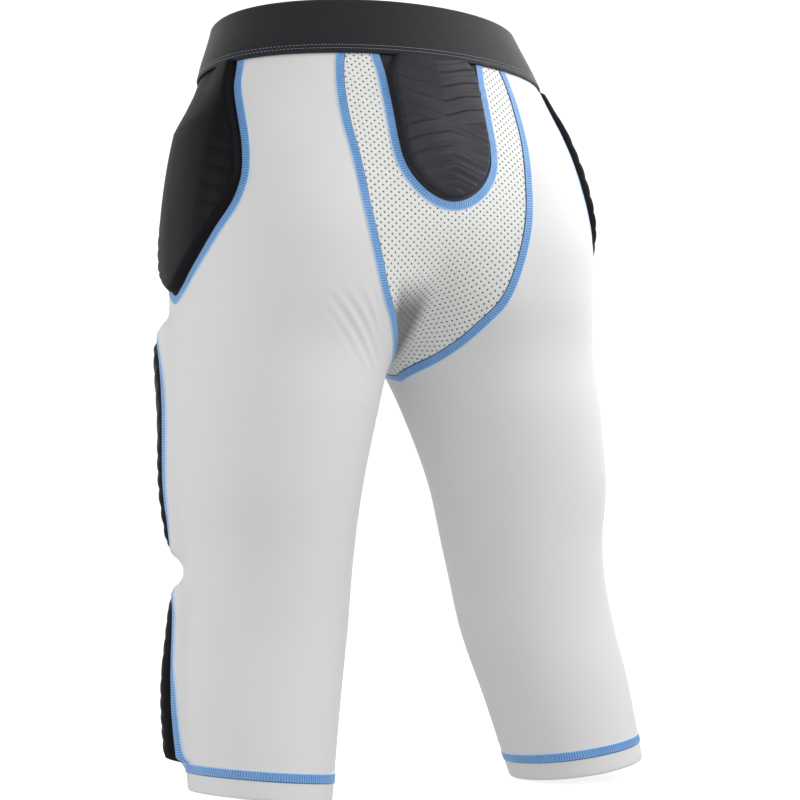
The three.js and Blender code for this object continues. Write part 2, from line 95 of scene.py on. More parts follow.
SECTIONS = columns(
    "down centre shift half front back square",
    [
        (0.0, 0.0, 0.033, 0.653, 0.742, 0.667, 2.1),
        (0.068, 0.095, 0.117, 0.711, 0.783, 0.733, 2.15),
        (0.14, 0.2, 0.208, 0.705, 0.817, 0.792, 2.2),
        (0.217, 0.289, 0.242, 0.674, 0.883, 0.9, 2.25),
        (0.295, 0.363, 0.233, 0.626, 0.917, 0.975, 2.3),
        (0.373, 0.437, 0.217, 0.55, 0.9, 0.95, 2.25),
        (0.45, 0.529, 0.225, 0.476, 0.85, 0.842, 2.15),
        (0.528, 0.585, 0.3, 0.438, 0.767, 0.742, 2.1),
        (0.621, 0.634, 0.35, 0.406, 0.667, 0.65, 2.05),
        (0.714, 0.647, 0.367, 0.363, 0.583, 0.583, 2.05),
        (0.807, 0.684, 0.417, 0.353, 0.533, 0.533, 2.05),
        (0.9, 0.742, 0.517, 0.332, 0.508, 0.517, 2.05),
        (1.0, 0.785, 0.633, 0.293, 0.483, 0.517, 2.05),
    ],
)
GUSSET_SEAM = columns(
    "down back front",
    [
        (0.05, 33.4, -206),
        (0.1, 30.5, -204),
        (0.157, 23.4, -198),
        (0.222, 12.8, -190),
        (0.292, 3, -182),
        (0.354, -7.6, -166),
        (0.388, -16, -157),
        (0.411, -26, -147),
        (0.436, -40.5, -133),
        (0.455, -57, -120),
        (0.468, -75, -105),
        (CROTCH_SHARE, -90, -90),
    ],
)
CLOTH_TOP = BAND_HEIGHT - BAND_TUCK
CLOTH_BOTTOM = LENGTH - HEM_HEIGHT - GAP
CROTCH = CROTCH_SHARE * LENGTH
print("cloth runs from", CLOTH_TOP, "to", CLOTH_BOTTOM, "mm below the waist; crotch at", round(CROTCH))


# %% [markdown]
# A table's column becomes a smooth curve with cubic pieces between its rows. The section at a height
# gives a distance field: below zero inside the form, zero on the cloth. Working on whole arrays of
# points at once keeps this quick in plain numpy.

# %% Sections and the distance field
def along(table, key, at, column):
    x = table[key]
    y = table[column]
    i = np.clip(np.searchsorted(x, at) - 1, 0, len(x) - 2)
    k = np.arange(len(x))
    low = np.maximum(k - 1, 0)
    high = np.minimum(k + 1, len(x) - 1)
    slope = (y[high] - y[low]) / (x[high] - x[low])
    span = x[i + 1] - x[i]
    t = (at - x[i]) / span
    rise = y[i] * (1 - t) ** 2 * (1 + 2 * t) + y[i + 1] * t * t * (3 - 2 * t)
    return rise + span * (slope[i] * t * (1 - t) ** 2 - slope[i + 1] * t * t * (1 - t))


def section_at(z):
    share = np.clip(-np.asarray(z, float) / LENGTH, 0, 1)
    scale = {"centre": HALF_HIP, "half": HALF_HIP, "square": 1}
    names = ("centre", "shift", "half", "front", "back", "square")
    return {n: along(SECTIONS, "down", share, n) * scale.get(n, HALF_DEPTH) for n in names}


def half_field(s, x, y):
    dx = x - s["centre"]
    dy = y - s["shift"]
    depth = np.where(dy > 0, s["back"], s["front"])
    reach = np.hypot(dx, dy) + 1e-9
    power = s["square"]
    ratio = np.abs(dx / s["half"]) ** power + np.abs(dy / depth) ** power
    return reach - reach / (ratio ** (1 / power) + 1e-9)


def form_field(s, x, y):
    left = half_field(s, x, y)
    right = half_field(s, -x, y)
    near = np.maximum(LEG_BLEND - np.abs(left - right), 0) / LEG_BLEND
    return np.minimum(left, right) - near * near * LEG_BLEND / 4


def form_normal(p):
    e = 0.5
    x, y, z = p.T
    here = section_at(z)
    out = np.stack(
        [
            form_field(here, x + e, y) - form_field(here, x - e, y),
            form_field(here, x, y + e) - form_field(here, x, y - e),
            form_field(section_at(z + e), x, y) - form_field(section_at(z - e), x, y),
        ],
        axis=1,
    )
    return out / np.linalg.norm(out, axis=1, keepdims=True)


print("half width at the hip:", round(float(section_at(-240)["half"]), 1), "mm")


# %% [markdown]
# Two ways to find places on the cloth are needed. A ray from the middle of a section gives the place at
# an angle, counted from straight back round the outer side. A few small steps along the normal give the
# nearest place to any point. Thick leg pads lift the cloth round them a little, and the whole garment
# leans: the waist is higher at the back, and each hem is square to its splayed leg.

# %% Places on the cloth
MOST_STEPS = 200
STRIDE = 2
HALVINGS = 14


def leave_form(start, direction):
    x, y, z = start.T
    dx, dy = direction.T
    s = section_at(z)
    t = np.zeros(len(x))
    going = np.ones(len(x), bool)
    for _ in range(MOST_STEPS):
        going &= form_field(s, x + dx * t, y + dy * t) < 0
        if not going.any():
            break
        t[going] += STRIDE
    low = t - STRIDE
    high = t.copy()
    for _ in range(HALVINGS):
        middle = (low + high) / 2
        within = form_field(s, x + dx * middle, y + dy * middle) < 0
        low = np.where(within, middle, low)
        high = np.where(within, high, middle)
    return np.stack([x + dx * high, y + dy * high, z], axis=1)


def smooth_step(value, low, high):
    t = np.clip((value - low) / (high - low), 0, 1)
    return t * t * (3 - 2 * t)


PADS = {}
EDGE_LIFT = 9
LIFT_MARGIN = 8
LIFT_MARGIN_ANGLE = 12
LIFT_RAMP = 18
LIFT_RAMP_ANGLE = 13
LIFT_RAMP_AT_HEM = 8
LIFT_ZONES = []


def edge_lift(angle, z):
    turn = np.mod(angle, 360)
    lift = np.zeros(np.broadcast(turn, z).shape)
    for axis, half, top, bottom, foot in LIFT_ZONES:
        across = smooth_step(half - np.abs(turn - axis), 0, LIFT_RAMP_ANGLE)
        down = smooth_step(-z - top, 0, LIFT_RAMP) * smooth_step(bottom + z, 0, foot)
        lift = np.maximum(lift, EDGE_LIFT * across * down)
    return lift


def round_half(angle, z):
    angle, z = (np.ravel(a).astype(float) for a in np.broadcast_arrays(angle, z))
    s = section_at(z)
    turn = np.radians(angle)
    start = np.stack([s["centre"], s["shift"], z], axis=1)
    bare = leave_form(start, np.stack([np.sin(turn), np.cos(turn)], axis=1))
    out = form_normal(bare)
    return bare + out * edge_lift(angle, z)[:, None], out


def round_waist(angle, z):
    angle, z = (np.ravel(a).astype(float) for a in np.broadcast_arrays(angle, z))
    turn = np.radians(angle)
    start = np.stack([0 * z, section_at(z)["shift"], z], axis=1)
    bare = leave_form(start, np.stack([np.sin(turn), np.cos(turn)], axis=1))
    return bare, form_normal(bare)


def on_back(x, z):
    x, z = (np.ravel(a).astype(float) for a in np.broadcast_arrays(x, z))
    start = np.stack([x, section_at(z)["shift"], z], axis=1)
    bare = leave_form(start, np.stack([0 * x, 0 * x + 1], axis=1))
    return bare, form_normal(bare)


def nearest(p, steps=12):
    p = p.copy()
    for _ in range(steps):
        x, y, z = p.T
        p = p - form_normal(p) * form_field(section_at(z), x, y)[:, None]
    return p, form_normal(p)


def on_cloth(p):
    side = np.where(p[:, :1] < 0, -1, 1) * np.array([[1, 0, 0]]) + np.array([[0, 1, 1]])
    bare, out = nearest(p * side, 4)
    s = section_at(bare[:, 2])
    angle = np.degrees(np.arctan2(bare[:, 0] - s["centre"], bare[:, 1] - s["shift"]))
    bare = bare + out * edge_lift(angle, bare[:, 2])[:, None]
    return bare * side, out * side


HEM_LEAN_FROM = 0.621
WAIST_LEAN_TO = 0.272


def lean(p):
    x, y, z = p.T
    s = section_at(z)
    leg = np.clip((-z / LENGTH - HEM_LEAN_FROM) / (1 - HEM_LEAN_FROM), 0, 1)
    waist = np.clip(1 + z / (WAIST_LEAN_TO * LENGTH), 0, 1)
    back = y - s["shift"]
    hem = leg * (HEM_TILT_OUT * (np.abs(x) - s["centre"]) + HEM_TILT_BACK * back)
    return np.stack([x, y, z + hem + waist * WAIST_TILT_BACK * back], axis=1)


CLEFT_DEPTH = 5.0
CLEFT_HALF = 15
CLEFT_STARTS = (205, 262)
CLEFT_ENDS = (292, 312)
CREASES = columns(
    "x z slant pitch wide long depth",
    [
        (78, -276, 50.2, 9.6, 14, 34, 0.75),
        (66, -262, 61, 8.0, 7, 24, 0.35),
        (-72, -286, 129, 10.5, 11, 30, 0.3),
        (-52, -74, 165, 8.5, 9, 22, 0.35),
        (60, -340, 30, 13.0, 13, 34, 0.3),
        (-66, -350, 148, 14.0, 13, 36, 0.3),
    ],
)


def folds(p):
    """Slow swells all over, tension creases beside the crotch, and the cleft in the seat's cloth."""
    x, y, z = p.T
    soft = 0.35 * np.sin(x / 31 + z / 47 + 1.3) * np.sin(y / 37 - z / 29)
    soft += 0.25 * np.sin(x / 19 - z / 61) * np.sin(y / 23 + z / 53 + 0.6)
    soft *= smooth_step(-z, 40, 110) * (1 - 0.6 * smooth_step(-z, 560, 640))
    behind = smooth_step(y, 20, 50)
    for cx, cz, slant, pitch, wide, long, depth in zip(*CREASES.values()):
        turn = math.radians(slant)
        run = (x - cx) * math.cos(turn) + (z - cz) * math.sin(turn)
        off = (z - cz) * math.cos(turn) - (x - cx) * math.sin(turn)
        packet = np.exp(-((off / wide) ** 2) - (run / long) ** 4)
        soft += behind * depth * packet * np.cos(2 * np.pi * (off + 0.0012 * run**2) / pitch)
    cleft = smooth_step(-z, *CLEFT_STARTS) * (1 - smooth_step(-z, *CLEFT_ENDS))
    return soft - behind * cleft * CLEFT_DEPTH * np.exp(-((np.abs(x) / CLEFT_HALF) ** 2))


def lay(p, out, rise):
    rise = np.broadcast_to(rise, len(p)) + folds(p)
    return lean(p + out * rise[:, None])


print("back of the seat:", np.round(on_back(40, -190)[0][0], 1))

# %% [markdown]
# ## Making meshes
#
# A sheet of cloth starts as a grid of places with flat coordinates for its weave. Blender could thicken
# it with a Solidify modifier, but here the rim matters, because pads sit in it with a small gap. So
# one helper adds the inner face and the rim itself, and another turns arrays into a Blender mesh. Flat
# coordinates are kept in millimetres, so that every weave has its real scale.

# %% Mesh helpers
def corner_normals(points, faces):
    out = np.zeros_like(points)
    for face in faces:
        a, b, c = (points[face[i]] for i in (0, 1, 2))
        n = np.cross(b - a, c - a)
        if len(face) == 4:
            n = n + np.cross(c - a, points[face[3]] - a)
        for i in face:
            out[i] += n
    return out / np.maximum(np.linalg.norm(out, axis=1, keepdims=True), 1e-12)


def grid_faces(rows, count):
    a = np.arange(rows * count).reshape(rows, count)
    quads = np.stack([a[:-1, :-1], a[:-1, 1:], a[1:, 1:], a[1:, :-1]], axis=2)
    return [tuple(q) for q in quads.reshape(-1, 4).tolist()]


def thicken(points, flat, faces, alias, depth):
    """Adds an inner face and a rim. alias joins grid places that are one point."""
    joined = [tuple(alias[i] for i in face) for face in faces]
    out = corner_normals(points, joined)
    count = len(points)
    inner = points - out * depth
    all_points = np.vstack([points, inner])
    all_faces = []
    uvs = []
    edges = {}
    for face, real in zip(joined, faces):
        all_faces.append(face)
        uvs.append([flat[i] for i in real])
        all_faces.append(tuple(i + count for i in reversed(face)))
        uvs.append([flat[i] for i in reversed(real)])
        for k in range(len(face)):
            n = (k + 1) % len(face)
            edges[(face[k], face[n])] = (real[k], real[n])
    for (a, b), (ra, rb) in edges.items():
        if (b, a) not in edges:
            all_faces.append((b, a, a + count, b + count))
            uvs.append([flat[rb], flat[ra], flat[ra], flat[rb]])
    return all_points, all_faces, uvs


def make_piece(name, points, faces, uvs, finish, replaces=()):
    used = np.zeros(len(points), bool)
    used[[i for face in faces for i in face]] = True
    index = np.cumsum(used) - 1
    mesh = bpy.data.meshes.new(name)
    places = (points[used] / 1000).tolist()
    mesh.from_pydata(places, [], [tuple(int(index[i]) for i in face) for face in faces])
    layer = mesh.uv_layers.new(name="flat_mm")
    layer.data.foreach_set("uv", np.array([c for face in uvs for c in face], float).ravel())
    mesh.polygons.foreach_set("use_smooth", np.ones(len(faces), bool))
    mesh.materials.append(finish)
    mesh.update()
    piece = bpy.data.objects.new(name, mesh)
    bpy.context.scene.collection.objects.link(piece)
    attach(piece, "root")
    if replaces:
        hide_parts(*replaces)
    triangles = sum(len(face) - 2 for face in faces)
    print(f"{name}: {triangles} triangles")
    return piece


def mirrored(faces):
    return [tuple(reversed(face)) for face in faces]


# %% [markdown]
# ## Pad outlines
#
# Each pad is described by its half widths from top to bottom, as in the CAD source. A closed smooth
# curve through those points gives the outline, in chart coordinates: an angle round the leg and a
# height, or for the tail pad a distance from the middle line and a height. The same outline cuts the
# opening in the cloth, shapes the pad and carries the seam.

# %% Outlines
KNEE_PAD_HEIGHT = 147
THIGH_PAD_ABOVE_CROTCH = 48
THIGH_PAD_ABOVE_KNEE_PAD = 20
HIP_PAD_ABOVE_THIGH_PAD = 15
KNEE_TOP = CLOTH_BOTTOM - KNEE_PAD_HEIGHT
THIGH_TOP = CROTCH - THIGH_PAD_ABOVE_CROTCH
THIGH_BOTTOM = KNEE_TOP - THIGH_PAD_ABOVE_KNEE_PAD
HIP_BOTTOM = THIGH_TOP - HIP_PAD_ABOVE_THIGH_PAD
HIP_SHAPE = columns(
    "down wide",
    [
        (0, 0.58), (0.15, 0.66), (0.28, 0.78), (0.4, 0.9), (0.51, 0.98), (0.58, 1), (0.67, 0.955),
        (0.75, 0.83), (0.84, 0.64), (0.92, 0.39), (0.97, 0.2), (1, 0),
    ],
)
THIGH_SHAPE = columns(
    "down wide",
    [
        (0, 0), (0.02, 0.42), (0.06, 0.7), (0.12, 0.89), (0.2, 0.97), (0.35, 1), (0.55, 1),
        (0.75, 0.985), (0.87, 0.95), (0.94, 0.84), (0.98, 0.6), (0.995, 0.32), (1, 0),
    ],
)
KNEE_SHAPE = columns(
    "down wide",
    [
        (0, 0), (0.01, 0.36), (0.04, 0.68), (0.09, 0.88), (0.17, 0.95), (0.3, 0.96),
        (0.45, 0.96), (0.6, 1), (0.8, 1.02), (0.92, 1.03), (1, 1.06),
    ],
)
TAIL_SHAPE = columns(
    "down wide",
    [
        (0, 1.02), (0.2, 1), (0.42, 0.99), (0.62, 0.98), (0.74, 0.93), (0.84, 0.79), (0.92, 0.58),
        (0.98, 0.29), (1, 0),
    ],
)


def seam_angle(side, z):
    share = np.clip(-np.asarray(z, float) / LENGTH, 0.05, CROTCH_SHARE)
    return along(GUSSET_SEAM, "down", share, side)


def mean_radius(z):
    s = section_at(z)
    return (s["half"] + (s["front"] + s["back"]) / 2) / 2


def across_scale(pad, z):
    """Millimetres of cloth for one unit across, at a height."""
    return 1 + 0 * z if pad["flat"] else mean_radius(z) * math.pi / 180


def pad_of(shape, axis, half, top, bottom, rise, flat=False, limit=None):
    height = bottom - top
    down = shape["down"]
    wide = shape["wide"]
    sides = []
    for sign in (1, -1):
        u = axis + sign * half * wide
        z = -(top + height * down)
        if limit is not None:
            u = np.minimum(u, limit(z))
        sides.append(np.stack([u, z], axis=1))
    right, left = sides[0], sides[1][::-1]
    share = np.arange(1, 10)[:, None] / 10
    bottom_edge = [] if wide[-1] == 0 else [right[-1] + (left[0] - right[-1]) * share]
    top_edge = [] if wide[0] == 0 else [left[-1] + (right[0] - left[-1]) * share]
    left = left[0 if bottom_edge else 1 : None if top_edge else -1]
    points = np.vstack([right, *bottom_edge, left, *top_edge])
    pad = {"axis": axis, "half": half, "top": top, "bottom": bottom, "rise": rise, "flat": flat}
    pad["height"] = height
    pad["open_top"] = bool(top_edge)
    pad["open_bottom"] = bool(bottom_edge)
    pad["middle"] = np.array([axis, -(top + height / 2)])
    pad["line"] = smooth_loop(points, pad)
    return pad


def smooth_loop(points, pad, pieces=14):
    """A closed curve through the points, evenly spaced about a millimetre apart."""
    scale = np.stack([across_scale(pad, points[:, 1]), np.ones(len(points))], axis=1)
    flat = points * scale
    curve = []
    count = len(flat)
    for i in range(count):
        p = [flat[(i + k - 1) % count] for k in range(4)]
        knots = np.cumsum([0] + [max(np.linalg.norm(p[k + 1] - p[k]), 1e-6) ** 0.5 for k in range(3)])
        for t in np.linspace(knots[1], knots[2], pieces, endpoint=False):
            level = p
            for depth in range(1, 4):
                level = [
                    level[k] + (level[k + 1] - level[k]) * blend_share(knots, k, depth, t)
                    for k in range(len(level) - 1)
                ]
            curve.append(level[0])
    curve = np.array(curve)
    ring = np.vstack([curve, curve[:1]])
    run = np.concatenate([[0], np.cumsum(np.linalg.norm(np.diff(ring, axis=0), axis=1))])
    steps = int(run[-1])
    even = np.linspace(0, run[-1], steps, endpoint=False)
    even = np.stack([np.interp(even, run, ring[:, k]) for k in (0, 1)], axis=1)
    even[:, 0] /= across_scale(pad, even[:, 1])
    return even


def blend_share(knots, k, depth, t):
    """Where t lies between the two knots that a step of the spline's pyramid joins."""
    low = knots[k] if depth < 3 else knots[1]
    high = knots[k + depth] if depth < 3 else knots[2]
    return (t - low) / (high - low)


def place(pad, u, z):
    return on_back(u, z) if pad["flat"] else round_half(u, z)


def thigh_limit(z):
    """The thigh pad keeps clear of the gusset seam in front."""
    return seam_angle("front", z) + 360 - PAD_CLEAR_ANGLE


def lift_round(pad, bottom, foot):
    """Adds the zone in which the cloth rises to meet a pad's edge."""
    half = pad["half"] + LIFT_MARGIN_ANGLE
    LIFT_ZONES.append((pad["axis"], half, pad["top"] - LIFT_MARGIN, bottom, foot))


PAD_CLEAR_ANGLE = 5
TAIL_HALF_WIDTH = 47.5
TAIL_BOTTOM = 176
HIP_AXIS = 97
HIP_HALF_ANGLE = 41.8
THIGH_AXIS = 155
THIGH_HALF_ANGLE = 52
KNEE_AXIS = 153
KNEE_HALF_ANGLE = 57
TAIL_RISE = 8
HIP_RISE = 10
THIGH_RISE = 5
KNEE_RISE = 7
PADS["tail_pad"] = pad_of(TAIL_SHAPE, 0, TAIL_HALF_WIDTH, CLOTH_TOP, TAIL_BOTTOM, TAIL_RISE, flat=True)
PADS["hip_pad"] = pad_of(HIP_SHAPE, HIP_AXIS, HIP_HALF_ANGLE, CLOTH_TOP, HIP_BOTTOM, HIP_RISE)
PADS["thigh_pad"] = pad_of(
    THIGH_SHAPE, THIGH_AXIS, THIGH_HALF_ANGLE, THIGH_TOP, THIGH_BOTTOM, THIGH_RISE, limit=thigh_limit
)
PADS["knee_pad"] = pad_of(KNEE_SHAPE, KNEE_AXIS, KNEE_HALF_ANGLE, KNEE_TOP, CLOTH_BOTTOM, KNEE_RISE)
lift_round(PADS["thigh_pad"], THIGH_BOTTOM + LIFT_MARGIN, LIFT_RAMP)
lift_round(PADS["knee_pad"], CLOTH_BOTTOM, LIFT_RAMP_AT_HEM)
for name, pad in PADS.items():
    print(name, "outline points:", len(pad["line"]), "height:", round(pad["height"]))

# %% [markdown]
# ## Finishes
#
# All finishes are built from nodes, so they have no picture behind them and stay sharp at any distance.
# Weaves are sums of waves over the flat coordinates. Writing them as Python expressions is easier to
# read than a list of nodes, so a small class wraps a socket and adds a Math node for each operator.

# %% Shader expressions
class Wire:
    """One value in a finish. Arithmetic on it adds Math nodes."""

    def __init__(self, finish, socket):
        self.finish = finish
        self.socket = socket

    def math(self, operation, *others):
        return self.finish.node("Math", {"operation": operation}, [self, *others])

    def __add__(self, other):
        return self.math("ADD", other)

    def __radd__(self, other):
        return self.math("ADD", other)

    def __sub__(self, other):
        return self.math("SUBTRACT", other)

    def __rsub__(self, other):
        return self.finish.node("Math", {"operation": "SUBTRACT"}, [other, self])

    def __mul__(self, other):
        return self.math("MULTIPLY", other)

    def __rmul__(self, other):
        return self.math("MULTIPLY", other)

    def __truediv__(self, other):
        return self.math("DIVIDE", other)

    def wave(self, pitch):
        """From 1 to 0 and back over each pitch."""
        return (self * (2 * math.pi / pitch)).math("COSINE") * 0.5 + 0.5

    def fade(self, low, high):
        """0 at low, 1 at high, smooth between."""
        settings = {"interpolation_type": "SMOOTHSTEP"}
        return self.finish.node("MapRange", settings, {"Value": self, "From Min": low, "From Max": high})


class Finish:
    """A material under construction."""

    def __init__(self, name):
        self.material = bpy.data.materials.new(name)
        self.material.use_nodes = True
        self.tree = self.material.node_tree
        self.shader = self.tree.nodes["Principled BSDF"]

    def node(self, kind, settings, inputs, output=0):
        made = self.tree.nodes.new("ShaderNode" + kind)
        for key, value in settings.items():
            setattr(made, key, value)
        pairs = inputs.items() if isinstance(inputs, dict) else enumerate(inputs)
        for key, value in pairs:
            self.set(made.inputs[key], value)
        return Wire(self, made.outputs[output])

    def set(self, socket, value):
        if isinstance(value, Wire):
            self.tree.links.new(value.socket, socket)
        else:
            socket.default_value = value

    def flat(self):
        """Millimetres across and along the flat cloth."""
        place = self.node("UVMap", {"uv_map": "flat_mm"}, {})
        split = self.node("SeparateXYZ", {}, [place])
        return split, Wire(self, split.socket.node.outputs[1])

    def side_and_height(self):
        """Metres sideways from the middle of the part and metres up from its origin."""
        split = self.node("SeparateXYZ", {}, [self.node("TexCoord", {}, {}, "Object")])
        return split, Wire(self, split.socket.node.outputs[2])

    def noise(self, size, detail=2.0, roughness=0.5):
        """Cloudy variation between 0 and 1. size is in millimetres."""
        where = self.node("TexCoord", {}, {}, "Object")
        inputs = {"Vector": where, "Scale": 1000 / size, "Detail": detail, "Roughness": roughness}
        return self.node("TexNoise", {}, inputs, "Fac")

    def mix(self, share, low, high):
        made = self.tree.nodes.new("ShaderNodeMix")
        made.data_type = "RGBA"
        self.set(made.inputs["Factor"], share)
        for key, value in ((6, low), (7, high)):
            self.set(made.inputs[key], value if isinstance(value, Wire) else (*value, 1))
        return Wire(self, made.outputs[2])

    def finish(self, colour, height=None, depth=0.0001, **sockets):
        self.set(self.shader.inputs["Base Color"], colour if isinstance(colour, Wire) else (*colour, 1))
        for key, value in sockets.items():
            self.set(self.shader.inputs[key.replace("_", " ")], value)
        if height is not None:
            bump = self.node("Bump", {}, {"Height": height, "Distance": depth, "Strength": 1.0}, "Normal")
            self.set(self.shader.inputs["Normal"], bump)
        print("finish", self.material.name, "has", len(self.tree.nodes), "nodes")
        return self.material


# %% [markdown]
# **Stretch cloth.** A fine warp knit: ribs under a millimetre apart run down the leg, and each rib is a
# chain of small loops. Its colour is a very light, slightly cool grey. A weak sheen gives the soft
# bright edge that knitted nylon shows against the light.

# %% Stretch cloth
def knit_height(f, rib, loop):
    across, down = f.flat()
    ribs = across.wave(rib)
    slant = (across * (2 * math.pi / rib)).math("SINE") * 0.35
    loops = (down * (2 * math.pi / loop) + slant).math("SINE") * 0.5 + 0.5
    return ribs * 0.65 + loops * ribs * 0.35


def stretch_cloth():
    f = Finish("stretch_cloth")
    knit = knit_height(f, 0.85, 1.1)
    cloud = f.noise(60, 3.0)
    speck = f.noise(1.6, 1.0)
    shade = knit * 0.1 + cloud * 0.3 + speck * 0.2
    colour = f.mix(shade, (0.67, 0.666, 0.672), (0.745, 0.741, 0.747))
    height = knit + f.noise(2.5) * 0.8
    return f.finish(colour, height, 0.00004, Roughness=cloud * 0.1 + 0.62, Sheen_Weight=0.1,
                    Sheen_Roughness=0.5, Specular_IOR_Level=0.3)


CLOTH_FINISH = stretch_cloth()

# %% [markdown]
# ** Perforated cloth.** The gusset is a little warmer, with rows of punched holes. Each row is offset by
# half a step from the one above it. Real holes would need tens of thousands of faces, so the finish
# paints the shade seen through each hole as a dark round spot, with a little painted shade in the dimple
# round it, and sinks both with the bump. Two crossed lattices give the stagger.
# On the left of the fold between the legs the finish paints a dark grey shade, where that fold lies in
# shadow. The four pairs of limits say where that painted shade comes in and goes out, in metres sideways
# and upwards.

# %% Perforated cloth
HOLE_ACROSS = 6.8
HOLE_DOWN = 5.6
HOLE_RADIUS = 0.66
HOLE_SHADE = (0.035, 0.037, 0.036)
PAINTED_FOLD_SHADE = (0.11, 0.107, 0.11)
FOLD_SHADE_STRENGTH = 0.9
FOLD_SHADE_INNER = (-0.003, 0.016)
FOLD_SHADE_OUTER = (0.036, 0.05)
FOLD_SHADE_LOW = (-0.304, -0.286)
FOLD_SHADE_HIGH = (-0.262, -0.228)


def hole_distance(f, shift):
    across, down = f.flat()
    x = (across / HOLE_ACROSS + shift).math("FRACT") - 0.5
    y = (down / HOLE_DOWN + shift).math("FRACT") - 0.5
    x = x * HOLE_ACROSS
    y = y * HOLE_DOWN
    return (x * x + y * y).math("SQRT")


def perforated_cloth():
    f = Finish("perforated_cloth")
    near = hole_distance(f, 0.0).math("MINIMUM", hole_distance(f, 0.5))
    solid = near.fade(HOLE_RADIUS - 0.22, HOLE_RADIUS + 0.22)
    # Painted shade: the cloth darkens a little towards each sunken hole.
    ring = near.fade(HOLE_RADIUS + 0.1, HOLE_RADIUS + 1.1)
    knit = knit_height(f, 0.9, 1.2)
    cloud = f.noise(50, 3.0)
    cloth = f.mix(knit * 0.1 + cloud * 0.3 + ring * 0.3, (0.70, 0.71, 0.685), (0.81, 0.82, 0.795))
    x, z = f.side_and_height()
    # Painted shade: a dark grey on the left of the fold between the legs, where it lies in shadow.
    fold_shade = x.fade(*FOLD_SHADE_INNER) * (1 - x.fade(*FOLD_SHADE_OUTER))
    fold_shade = fold_shade * z.fade(*FOLD_SHADE_LOW) * (1 - z.fade(*FOLD_SHADE_HIGH))
    cloth = f.mix(fold_shade * FOLD_SHADE_STRENGTH, cloth, PAINTED_FOLD_SHADE)
    # Painted shade: each hole is painted the dark of the shaded inside of the garment.
    colour = f.mix(solid, HOLE_SHADE, cloth)
    height = solid * 1.6 + ring * 0.9 + knit * 0.2
    return f.finish(colour, height, 0.0003, Roughness=0.72, Sheen_Weight=0.1, Specular_IOR_Level=0.3)


GUSSET_FINISH = perforated_cloth()

# %% [markdown]
# ** Pad cover.** Black brushed knit over moulded foam. A cloudy tone and a fine nap vary the black, while
# the ridges themselves are geometry. The tail pad's cover is the same knit painted several times lighter
# and glossier, as painted light where the key lamp falls on it.

# %% Pad cover
def pad_cover(name, deep, pale, gloss):
    f = Finish(name)
    knit = knit_height(f, 0.95, 1.3)
    cloud = f.noise(28, 4.0)
    nap = f.noise(0.9, 2.0)
    colour = f.mix(cloud * 0.5 + nap * 0.4 + knit * 0.1, deep, pale)
    height = knit * 0.4 + nap * 0.7
    return f.finish(colour, height, 0.00010, Roughness=0.5 + cloud * 0.12, Sheen_Weight=0.02,
                    Sheen_Roughness=0.4, Specular_IOR_Level=gloss)


PAD_FINISH = pad_cover("pad_cover", (0.0026, 0.0024, 0.0037), (0.0062, 0.0058, 0.0084), 0.07)
# Painted light: the tail pad's cover is the same knit, painted lighter and glossier as if lit by the key
# lamp.
LIT_TAIL_FINISH = pad_cover("tail_pad_cover_painted_lit", (0.0095, 0.0093, 0.0135), (0.0215, 0.0208, 0.0295), 0.28)

# %% [markdown]
# **Elastic.** The waistband is a woven charcoal elastic with narrow upright ribs and a speckle of
# lighter threads.

# %% Elastic
def elastic():
    f = Finish("elastic")
    across, down = f.flat()
    ribs = across.wave(1.5)
    weft = down.wave(1.05)
    brick = (across / 1.5).math("FLOOR").math("MODULO", 2.0)
    threads = (down * (2 * math.pi / 2.1) + brick * math.pi).math("SINE") * 0.5 + 0.5
    speck = f.noise(1.3, 2.0, 0.7)
    cloud = f.noise(35, 3.0)
    lint = f.noise(3.2, 3.0, 0.6)
    shade = threads * 0.1 + speck * 0.6 + lint * 0.4 + cloud * 0.2 - 0.22
    colour = f.mix(shade, (0.0022, 0.002, 0.003), (0.0135, 0.0127, 0.0158))
    height = ribs * 0.18 + threads * ribs * 0.18 + weft * 0.05 + speck * 0.6 + lint * 0.5
    return f.finish(colour, height, 0.0002, Roughness=0.64, Sheen_Weight=0.17, Sheen_Roughness=0.45,
                    Specular_IOR_Level=0.26)


BAND_FINISH = elastic()

# %% [markdown]
# ** Seam thread.** Bright blue, slightly shiny filament thread. The ladder of stitches is real relief on
# the seam's mesh; the finish paints shade into the valleys between the threads and lightens both rails.
# A seam's edge towards the pad, gusset or hem that it joins is painted dark, as painted shade where it
# meets that part, and its other edge is pale. Flat coordinates on a seam are millimetres across it and
# along it.

# %% Seam thread
STITCH = 2.2
BAND_STITCH = 1.0
PAINTED_SHADE_EDGE = (0.005, 0.032, 0.125)
PALE_EDGE = (0.64, 0.74, 0.88)
EDGE_STRENGTH = 0.85


def seam_thread(name, deep, bright, stitch):
    f = Finish(name)
    across, run = f.flat()
    side = across.math("ABSOLUTE")
    step = (run + across * 0.22).wave(stitch)
    rails = side.fade(2.2, 3.1) * (1 - side.fade(3.5, 4.1))
    twist = (run * (2 * math.pi / 0.55) + across * 3).math("SINE") * 0.5 + 0.5
    cloud = f.noise(14, 2.0)
    # Painted shade: the valleys between the stitches are darker.
    shade = step * (1 - rails) * 0.6 + rails * 0.65 + twist * 0.12 + cloud * 0.3 - 0.08
    colour = f.mix(shade, deep, bright)
    # Painted shade: the edge towards the joined part is darkened.
    colour = f.mix((0 - across).fade(2.4, 3.8) * EDGE_STRENGTH, colour, PAINTED_SHADE_EDGE)
    colour = f.mix(across.fade(2.9, 3.8) * EDGE_STRENGTH, colour, PALE_EDGE)
    return f.finish(colour, twist * 0.5 + step * 0.5, 0.00008, Roughness=0.45, Sheen_Weight=0.1,
                    Specular_IOR_Level=0.45)


